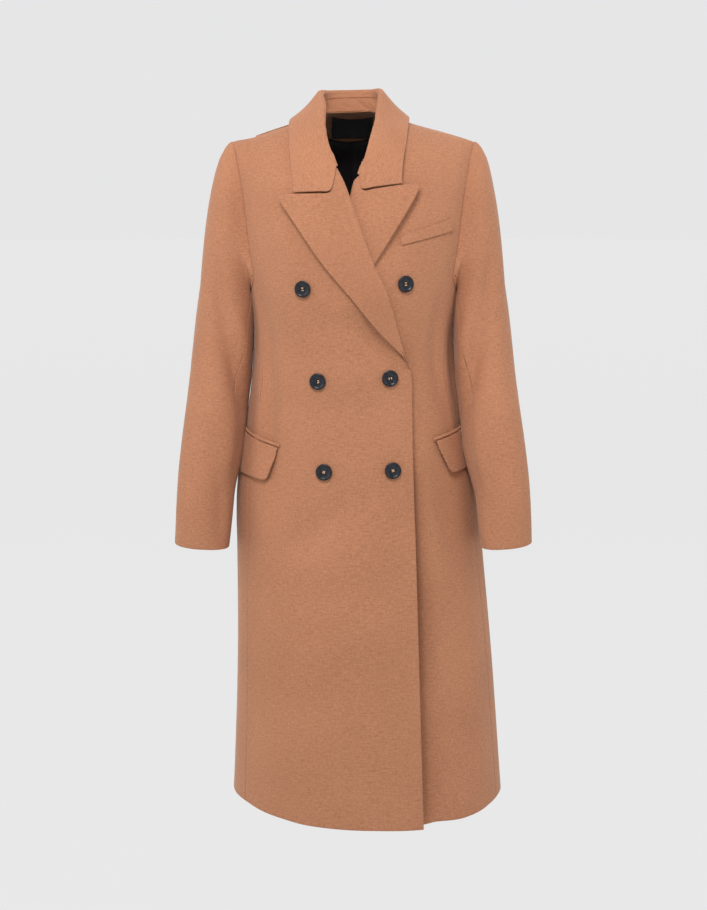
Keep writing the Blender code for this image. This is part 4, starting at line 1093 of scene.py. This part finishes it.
# ---------------------------------------------------------------- folds
# Troughs (below 0) and ridges of the body: (angle, z) at both ends, width, height.  Angles are from
# the front, and the right side is negative.
BODY_FOLDS = (
    # angle,  z,     angle,  z,     width,  height
    (-37.5, -0.4905, -97.0, -0.4662, 0.0030, -0.0016),
    (38.8,  -0.4812, 86.0,  -0.4595, 0.0030, -0.0016),
    (-35.5, -0.147, -6.0,  -0.270, 0.011, -0.0052),
    (2.0,   -0.302, 20.0,  -0.374, 0.014, -0.0085),
    (28.5,  -0.122, 9.0,   -0.230, 0.011, -0.0062),
    (-2.0,  -0.575, -29.0, -0.666, 0.024, -0.0055),
    (-22.0, -0.690, -31.0, -0.800, 0.024, -0.0015),
    (-52.0, -0.340, -45.0, -0.500, 0.013, -0.0066),
    (-59.5, -0.370, -58.5, -0.500, 0.009, 0.0034),
    (-58.0, -0.265, -52.0, -0.350, 0.014, -0.0027),
    (-60.0, -0.560, -58.0, -0.700, 0.020, -0.0024),
    (-14.0, -0.740, -10.0, -1.040, 0.040, -0.0024),
    (-40.0, -0.860, -42.0, -1.060, 0.034, 0.0027),
    (51.0,  -0.290, 48.0,  -0.440, 0.016, -0.0045),
    (57.0,  -0.390, 55.0,  -0.500, 0.008, 0.0018),
    (72.0,  -0.330, 66.0,  -0.490, 0.014, -0.0060),
    (40.0,  -0.555, 43.0,  -0.740, 0.024, -0.0033),
    (51.0,  -0.640, 53.0,  -1.000, 0.022, 0.0030),
    (36.0,  -0.800, 37.0,  -1.050, 0.026, -0.0027),
    (-84.0, -0.620, -85.0, -1.040, 0.026, -0.0033),
    (88.0,  -0.600, 90.0,  -1.050, 0.024, -0.0039),
    (-102.0, -0.330, -88.0, -0.420, 0.014, -0.0027),
    (104.0, -0.325, 92.0,  -0.405, 0.013, -0.0033),
    (142.0, -0.115, 158.0, -0.290, 0.026, -0.0039),
    (-146.0, -0.130, -160.0, -0.270, 0.022, -0.0030),
    (126.0, -0.352, 166.0, -0.338, 0.010, -0.0033),
    (-130.0, -0.340, -171.0, -0.351, 0.011, -0.0029),
    (136.0, -0.384, 160.0, -0.376, 0.009, -0.0018),
    (151.0, -0.560, 148.0, -1.050, 0.030, -0.0060),
    (-156.0, -0.600, -152.0, -1.060, 0.028, -0.0051),
    (128.0, -0.700, 130.0, -1.060, 0.022, 0.0039),
    (-133.0, -0.640, -134.0, -1.060, 0.024, 0.0045),
    (168.0, -0.820, 170.0, -1.060, 0.020, 0.0024),
    (-112.0, -0.720, -113.0, -1.060, 0.020, -0.0033),
    (110.0, -0.660, 112.0, -1.050, 0.022, -0.0039),
)
# The same for the sleeves, by the angle round the sleeve: 0 outermost, 90 in front, 180 innermost
SLEEVE_FOLDS = {
    -1: (
        (62.0,  -0.430, 56.0,  -0.680, 0.034, 0.0085),
        (66.0, -0.215, 98.0, -0.330, 0.0190, -0.0100),
        (96.0, -0.325, 150.0, -0.445, 0.0168, -0.0133),
        (120.0, -0.300, 146.0, -0.390, 0.0101, 0.0058),
        (150.0, -0.440, 152.0, -0.560, 0.0134, -0.0049),
        (118.0, -0.545, 132.0, -0.645, 0.0168, -0.0066),
        (84.0, -0.470, 112.0, -0.560, 0.0179, -0.0031),
        (216.0, -0.325, 262.0, -0.352, 0.0090, -0.0061),
        (222.0, -0.372, 276.0, -0.388, 0.0078, -0.0049),
        (212.0, -0.415, 250.0, -0.440, 0.0090, -0.0039),
        (292.0, -0.190, 238.0, -0.300, 0.0146, -0.0066),
        (300.0, -0.420, 306.0, -0.600, 0.0202, -0.0039),
        (30.0, -0.380, 26.0, -0.590, 0.0246, 0.0027),
    ),
    1: (
        (56.0,  -0.430, 50.0,  -0.675, 0.034, 0.0085),
        (64.0, -0.205, 96.0, -0.320, 0.0202, -0.0100),
        (94.0, -0.315, 148.0, -0.450, 0.0168, -0.0127),
        (118.0, -0.290, 146.0, -0.385, 0.0101, 0.0053),
        (148.0, -0.450, 150.0, -0.575, 0.0146, -0.0058),
        (112.0, -0.560, 128.0, -0.640, 0.0179, -0.0061),
        (80.0, -0.500, 108.0, -0.580, 0.0168, -0.0036),
        (214.0, -0.335, 266.0, -0.350, 0.0090, -0.0058),
        (220.0, -0.385, 268.0, -0.405, 0.0090, -0.0053),
        (296.0, -0.180, 240.0, -0.285, 0.0134, -0.0058),
        (304.0, -0.430, 300.0, -0.610, 0.0202, -0.0044),
        (34.0, -0.400, 30.0, -0.600, 0.0246, 0.0027),
    ),
}
# Soft slanting wrinkles of the stand: places along the collar and down it, in metres
STAND_FOLDS = (
    (0.012, 0.010, 0.032, 0.046, 0.0045, 0.0026),
    (-0.052, 0.014, -0.030, 0.044, 0.0050, 0.0022),
    (0.038, 0.016, 0.050, 0.044, 0.0040, -0.0016),
    (-0.012, 0.022, 0.006, 0.044, 0.0040, 0.0013),
)
# Centre pleat and long ripples of the back lining
LINING_FOLDS = (
    (-0.0075, -0.036, -0.0075, -0.250, 0.0032, 0.0033),
    (-0.0015, -0.040, 0.0010, -0.250, 0.0040, -0.0021),
    (0.0210, -0.060, 0.0260, -0.230, 0.0050, -0.0018),
    (-0.0290, -0.050, -0.0330, -0.240, 0.0055, -0.0021),
    (0.0520, -0.080, 0.0560, -0.220, 0.0060, 0.0018),
    (-0.0620, -0.080, -0.0640, -0.230, 0.0060, 0.0015),
)


# Folds of one front only: beside its closing edge and, on the left one, aslant below the waist
FRONT_FOLDS = {
    -1: (
        (23.5,  -0.620, 22.5,  -1.110, 0.016, 0.0034),
    ),
    1: (
        (22.5,  -0.420, 20.0,  -1.250, 0.008, -0.0060),
        (24.0,  -0.360, 22.5,  -0.860, 0.017, -0.0070),
        (23.0,  -0.560, 21.5,  -1.300, 0.024, -0.0130),
        (33.0,  -0.420, 41.0,  -0.560, 0.024, -0.0030),
        (34.0,  -0.500, 44.0,  -0.640, 0.024, -0.0030),
    ),
}


def on_cloth(rows, metres=CLOTH_METRES, turns=(0,)):
    """Folds given by angle, in metres of cloth, and the same again some turns further on."""
    return [((a0 + turn) * metres, z0, (a1 + turn) * metres, z1, width, height)
            for turn in turns for a0, z0, a1, z1, width, height in rows]


# ---------------------------------------------------------------- materials
def shader(name, roughness, **sockets):
    made = bpy.data.materials.new(name)
    made.use_nodes = True
    principled = made.node_tree.nodes["Principled BSDF"]
    principled.inputs["Roughness"].default_value = roughness
    for socket, value in sockets.items():
        principled.inputs[socket.replace("_", " ")].default_value = value
    return made, made.node_tree, principled


def node(tree, kind, **inputs):
    made = tree.nodes.new(kind)
    for socket, value in inputs.items():
        made.inputs[socket.replace("_", " ")].default_value = value
    return made


def noise(tree, vector, scale, detail=2.0, distortion=0.0):
    """Noise with so many cells a metre, or a number of them for each axis."""
    if isinstance(scale, tuple):
        stretched = node(tree, "ShaderNodeMapping", Scale=scale)
        tree.links.new(vector, stretched.inputs["Vector"])
        vector, scale = stretched.outputs["Vector"], 1.0
    made = node(tree, "ShaderNodeTexNoise", Scale=scale, Detail=detail, Distortion=distortion)
    tree.links.new(vector, made.inputs["Vector"])
    return made.outputs["Fac"]


def remap(tree, value, low, high, to_low=0.0, to_high=1.0):
    made = node(tree, "ShaderNodeMapRange", From_Min=low, From_Max=high, To_Min=to_low, To_Max=to_high)
    tree.links.new(value, made.inputs["Value"])
    return made.outputs["Result"]


def calculate(tree, operation, a, b):
    made = tree.nodes.new("ShaderNodeMath")
    made.operation = operation
    for socket, value in zip(made.inputs, (a, b)):
        if isinstance(value, (int, float)):
            socket.default_value = value
        else:
            tree.links.new(value, socket)
    return made.outputs["Value"]


def weighted(tree, *parts):
    """The sum of some values, each times its weight."""
    products = [calculate(tree, "MULTIPLY", value, weight) for value, weight in parts]
    total = products[0]
    for product in products[1:]:
        total = calculate(tree, "ADD", total, product)
    return total


def coloured(tree, principled, factor, dark, light):
    """The base colour goes from dark to light with a factor."""
    made = tree.nodes.new("ShaderNodeMix")
    made.data_type = "RGBA"
    made.inputs["A"].default_value = (*dark, 1)
    made.inputs["B"].default_value = (*light, 1)
    tree.links.new(factor, made.inputs["Factor"])
    tree.links.new(made.outputs["Result"], principled.inputs["Base Color"])


def bumped(tree, principled, height, strength, distance):
    made = node(tree, "ShaderNodeBump", Strength=strength, Distance=distance)
    tree.links.new(height, made.inputs["Height"])
    tree.links.new(made.outputs["Normal"], principled.inputs["Normal"])


def wool_material():
    """Camel wool: mixed fibres, slubs along weft and warp, a fine twill line and a soft nap."""
    made, tree, principled = shader("camel_wool", 0.92, Sheen_Weight=0.22, Sheen_Roughness=0.45,
                                    Sheen_Tint=(0.95, 0.78, 0.62, 1), Specular_IOR_Level=0.25)
    cloth = tree.nodes.new("ShaderNodeUVMap").outputs["UV"]
    grains = {name: noise(tree, cloth, scale, detail) for name, scale, detail, _ in WOOL_GRAINS}
    tone = weighted(tree, *((grains[name], weight) for name, _, _, weight in WOOL_GRAINS))
    coloured(tree, principled, remap(tree, tone, *WOOL_TONES), WOOL_DARK, WOOL_LIGHT)
    twill = node(tree, "ShaderNodeTexWave", Scale=TWILL_LINES, Distortion=0.0, Detail_Scale=2.0)
    twill.bands_direction = "DIAGONAL"
    tree.links.new(cloth, twill.inputs["Vector"])
    height = weighted(tree, (twill.outputs["Fac"], 0.5), (grains["fibres"], 1.0), (grains["weft"], 0.6))
    bumped(tree, principled, height, strength=0.35, distance=0.0004)
    return made


def satin_material(name, colour, roughness, ribs):
    """Black satin: fine ribs across, faint long ripples, a low sheen, and painted sheen that makes the
    colour lighter along the ripples.
    """
    made, tree, principled = shader(name, roughness, Sheen_Weight=0.1, Specular_IOR_Level=0.35)
    cloth = tree.nodes.new("ShaderNodeUVMap").outputs["UV"]
    ripples = noise(tree, cloth, SATIN_RIPPLES)
    # painted sheen: the colour turns lighter along the ripples, standing in for the light they catch
    light = tuple(SATIN_PAINTED_SHEEN * c for c in colour)
    coloured(tree, principled, remap(tree, ripples, *SATIN_SHEEN_TONES), colour, light)
    weave = noise(tree, cloth, (SATIN_THREADS, ribs, 1.0), detail=1.0)
    height = weighted(tree, (weave, 1.0), (ripples, 3.0))
    bumped(tree, principled, height, strength=0.3, distance=0.0005)
    return made


def horn_material():
    """Marbled dark horn: cloudy grey-blue veins in navy black, soft gloss."""
    made, tree, principled = shader("dark_horn", 0.32, Specular_IOR_Level=0.30, Coat_Weight=0.05,
                                    Coat_Roughness=0.3)
    place = tree.nodes.new("ShaderNodeTexCoord").outputs["Object"]
    clouds = noise(tree, place, HORN_CLOUDS, detail=5.0, distortion=1.6)
    veins = noise(tree, place, HORN_VEINS, detail=3.0, distortion=3.0)
    tone = remap(tree, weighted(tree, (clouds, 1.0), (veins, VEIN_SHARE)), *HORN_TONES)
    coloured(tree, principled, tone, HORN_DARK, HORN_LIGHT)
    bumped(tree, principled, veins, strength=0.08, distance=0.0003)
    return made


def thread_material():
    made, tree, principled = shader("camel_thread", 0.7, Sheen_Weight=0.2)
    place = tree.nodes.new("ShaderNodeTexCoord").outputs["Object"]
    twist = noise(tree, place, THREAD_TWIST)
    coloured(tree, principled, remap(tree, twist, *THREAD_TONES), THREAD_DARK, THREAD_LIGHT)
    bumped(tree, principled, twist, strength=0.4, distance=0.0002)
    return made


# ---------------------------------------------------------------- the coat
wool = wool_material()
satin = satin_material("black_satin", SATIN_BLACK, 0.38, LINING_RIBS)
label_satin = satin_material("label_satin", LABEL_BLACK, 0.5, LABEL_RIBS)
horn = horn_material()
thread = thread_material()


def name_of(piece, side):
    return piece + ("_right" if side < 0 else "_left")


def cloth_piece(node_name, form, wall, flip, slot="coat_wool", stuffs=(wool,), **how):
    """The cloth of one node, made as a shell and attached to the root, with the node's own part hidden."""
    made = shell(node_name + "_cloth", form, wall, flip, stuffs, **how)
    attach(made, "root")
    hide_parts(node_name)


arounds = [row[0] for row in ARMHOLE]
front_seam, back_seam = arounds[FRONT_SEAM_STOP], arounds[BACK_SEAM_STOP]
for side in (-1, 1):
    body_folds, front_folds = on_cloth(BODY_FOLDS), on_cloth(BODY_FOLDS + FRONT_FOLDS[side])
    # the upper sleeve's angles run past a full turn, so the sleeves' folds come again a turn further on
    sleeve_folds = on_cloth(SLEEVE_FOLDS[side], ARM_METRES, turns=(0, 360))
    upper = sleeve_form(side, back_seam, front_seam + 360)
    under = sleeve_form(side, front_seam, back_seam)
    for piece, form, flip, how in (
            ("front", front_form(side), side < 0, {"folds": front_folds, "wool_inside": True, "soft": 1.8}),
            ("side", side_form(side), side < 0, {"folds": body_folds, "wool_inside": False, "soft": 1.8}),
            ("back", back_form(side), side > 0, {"folds": body_folds, "wool_inside": False, "soft": 1.8}),
            ("sleeve_top", upper, side > 0, {"folds": sleeve_folds, "wool_inside": False}),
            ("sleeve_under", under, side > 0, {"folds": sleeve_folds, "wool_inside": False})):
        cloth_piece(name_of(piece, side), form, CLOTH, flip, stuffs=(wool, satin), **how)
    cloth_piece(name_of("lapel", side), lapel_form(side), CLOTH, side < 0, step=0.0032)
    cloth_piece(name_of("flap", side), flap_form(side), CLOTH, side < 0, step=0.002)
    cloth_piece(name_of("jet", side), jet_form(side), THIN, side < 0, step=0.0015)
cloth_piece("collar_fall", fall_form, CLOTH, True, step=0.003, across=0.0011, smooth=8)
cloth_piece("collar_stand", stand_form, CLOTH, False, step=0.0025, folds=STAND_FOLDS)
cloth_piece("welt_breast", welt_form, THIN, False, step=0.0018, folds=front_folds)
facing = inside_form(FACING_HALF, facing_top, facing_low, FACING_OUT)
cloth_piece("back_neck_facing", facing, THIN, True, step=0.003)
label = inside_form(LABEL_HALF, label_top, lambda x: LABEL_LOW + 0 * x, LABEL_OUT, LABEL_CENTRE)
cloth_piece("neck_label", label, LABEL_WALL, True, "label_satin", (label_satin,), step=0.002)
lining = inside_form(LINING_HALF, lining_top, lambda x: LINING_LOW + 0 * x, LINING_OUT)
cloth_piece("back_lining", lining, LINING, True, "lining_satin", (satin,), step=0.004, folds=LINING_FOLDS)


# ---------------------------------------------------------------- buttons
def turned(profile, steps):
    """A solid turned about Z from (radius, height) pairs."""
    work = bmesh.new()
    angles = [2 * math.pi * k / steps for k in range(steps)]
    rings = []
    for radius, height in profile:
        if radius == 0:
            rings.append([work.verts.new((0, 0, height))] * steps)
        else:
            rings.append([work.verts.new((radius * math.cos(a), radius * math.sin(a), height))
                          for a in angles])
    for upper, lower in zip(rings, rings[1:]):
        for k in range(steps):
            corners = [upper[k], lower[k], lower[(k + 1) % steps], upper[(k + 1) % steps]]
            work.faces.new(list(dict.fromkeys(corners)))
    return work


def button_profile():
    """(radius, height) from the middle of the dish over the rim to the middle of the back."""
    points = list(DISH)
    for t in np.linspace(0, 1, RIM_STEPS + 1)[1:]:
        points.append((mix(DISH_EDGE[0], RIM[0], t), mix(DISH_EDGE[1], RIM[1], ease(t))))
    for turn in np.linspace(0, math.pi, EDGE_STEPS + 1)[1:]:
        points.append((EDGE_MIDDLE[0] + (BUTTON_RADIUS - EDGE_MIDDLE[0]) * math.sin(turn),
                       EDGE_MIDDLE[1] + EDGE_HALF * math.cos(turn)))
    return [*points, *BUTTON_BACK]


def mesh_from(work, name):
    mesh = bpy.data.meshes.new(name)
    work.to_mesh(mesh)
    work.free()
    return mesh


def plain_button():
    """The button's body with its four holes."""
    solid = placed("button_body", mesh_from(turned(button_profile(), BUTTON_STEPS), "button_body"))
    holes = bmesh.new()
    for x, y in HOLES:
        bmesh.ops.create_cone(holes, cap_ends=True, segments=DRILL_SIDES, radius1=HOLE_RADIUS,
                              radius2=HOLE_RADIUS, depth=DRILL[1],
                              matrix=Matrix.Translation((x, y, DRILL[0])))
    cutter = placed("button_holes", mesh_from(holes, "button_holes"))
    drilled = solid.modifiers.new("holes", "BOOLEAN")
    drilled.object = cutter
    drilled.solver = "EXACT"
    bpy.context.view_layer.update()
    done = bpy.data.meshes.new_from_object(solid.evaluated_get(bpy.context.evaluated_depsgraph_get()))
    bpy.data.objects.remove(solid)
    bpy.data.objects.remove(cutter)
    return done


def thread_strand(work, start, end):
    """A thread in a low arch from one hole of the button to another."""
    ahead = (end - start).normalized()
    aside, up = Vector((-ahead.y, ahead.x, 0)), Vector((0, 0, 1))
    angles = [2 * math.pi * n / THREAD_STEPS for n in range(THREAD_STEPS)]
    rings = []
    for k in range(THREAD_STEPS + 1):
        t = k / THREAD_STEPS
        centre = start.lerp(end, t) + up * THREAD_RISE * math.sin(math.pi * t) ** 0.5
        rings.append([work.verts.new(centre + (aside * math.cos(a) + up * math.sin(a)) * THREAD_RADIUS)
                      for a in angles])
    faces = [work.faces.new(rings[0][::-1]), work.faces.new(rings[-1])]
    for a, b in zip(rings, rings[1:]):
        for n in range(THREAD_STEPS):
            m = (n + 1) % THREAD_STEPS
            faces.append(work.faces.new((a[n], a[m], b[m], b[n])))
    for face in faces:
        face.material_index = 1
        face.smooth = True


def button(row, side, panel, x, z, gap, turn, strands, blank):
    node_name = name_of("button_" + row, side)
    here = on_front(panel, x, z, CLOTH + gap)
    step = BUTTON_RADIUS / 3
    ahead = on_front(panel, x + step, z, CLOTH) - on_front(panel, x - step, z, CLOTH)
    up = on_front(panel, x, z + step, CLOTH) - on_front(panel, x, z - step, CLOTH)
    normal = Vector(np.cross(ahead, up)).normalized()
    across = Vector(ahead).normalized()
    facing_out = Matrix((across, normal.cross(across), normal)).transposed().to_4x4()
    work = bmesh.new()
    work.from_mesh(blank)
    for face in work.faces:
        face.smooth = True
    for k, strand in enumerate(strands):
        start, end = (Vector((*HOLES[hole], THREAD_LEVEL + THREAD_STACK * k)) for hole in strand)
        for aside in (-1, 1):
            push = Vector((end.y - start.y, start.x - end.x, 0)).normalized()
            push *= aside * THREAD_SPREAD * THREAD_RADIUS
            thread_strand(work, start + push, end + push)
    mesh = mesh_from(work, node_name + "_turned")
    mesh.set_sharp_from_angle(angle=math.radians(SHARP_FROM))
    mesh.materials.append(horn)
    mesh.materials.append(thread)
    mesh.transform(Matrix.Rotation(math.radians(turn), 4, "Z"))
    made = placed(node_name + "_turned", mesh)
    made.matrix_world = Matrix.Translation(Vector(here)) @ facing_out
    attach(made, "root")
    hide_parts(node_name)


blank = plain_button()
for row in BUTTONS:
    button(*row, blank)


# ---------------------------------------------------------------- camera, floor and light
camera_data = bpy.data.cameras.new("camera")
camera_data.sensor_fit = "VERTICAL"
camera_data.sensor_height = SENSOR
camera_data.lens = SENSOR * FOCAL_PIXELS / PICTURE_HEIGHT
camera = placed("camera", camera_data)
camera.location = CAMERA_AT
camera.rotation_euler = (math.radians(90 - CAMERA_PITCH), 0, 0)
bpy.context.scene.camera = camera


for name, place, target, width, height, watts in SOFTBOXES:
    lamp = bpy.data.lights.new(name, "AREA")
    lamp.shape = "RECTANGLE"
    lamp.size, lamp.size_y = width, height
    lamp.energy = watts
    softbox = placed(name, lamp)
    softbox.location = place
    softbox.rotation_euler = (Vector(target) - Vector(place)).to_track_quat("-Z", "Y").to_euler()

world = bpy.data.worlds.new("studio")
world.use_nodes = True
sky = world.node_tree
background = sky.nodes["Background"]
background.inputs["Color"].default_value = (*WORLD_COLOUR, 1)
direction = node(sky, "ShaderNodeSeparateXYZ")
sky.links.new(sky.nodes.new("ShaderNodeTexCoord").outputs["Generated"], direction.inputs["Vector"])
strength = remap(sky, direction.outputs["Z"], *WORLD_FADES, *WORLD_STRENGTHS)
sky.links.new(strength, background.inputs["Strength"])
bpy.context.scene.world = world
bpy.context.scene.view_settings.view_transform = "Standard"

work = bmesh.new()
bmesh.ops.create_circle(work, cap_ends=True, segments=FLOOR_SIDES, radius=FLOOR_RADIUS)
floor = placed("floor", mesh_from(work, "floor"))
floor.location.z = FLOOR_AT
paint, _, _ = shader("pale_floor", 0.9, Base_Color=(*FLOOR_COLOUR, 1), Specular_IOR_Level=0.1,
                     Emission_Color=(*FLOOR_GLOW, 1), Emission_Strength=FLOOR_GLOW_STRENGTH)
floor.data.materials.append(paint)
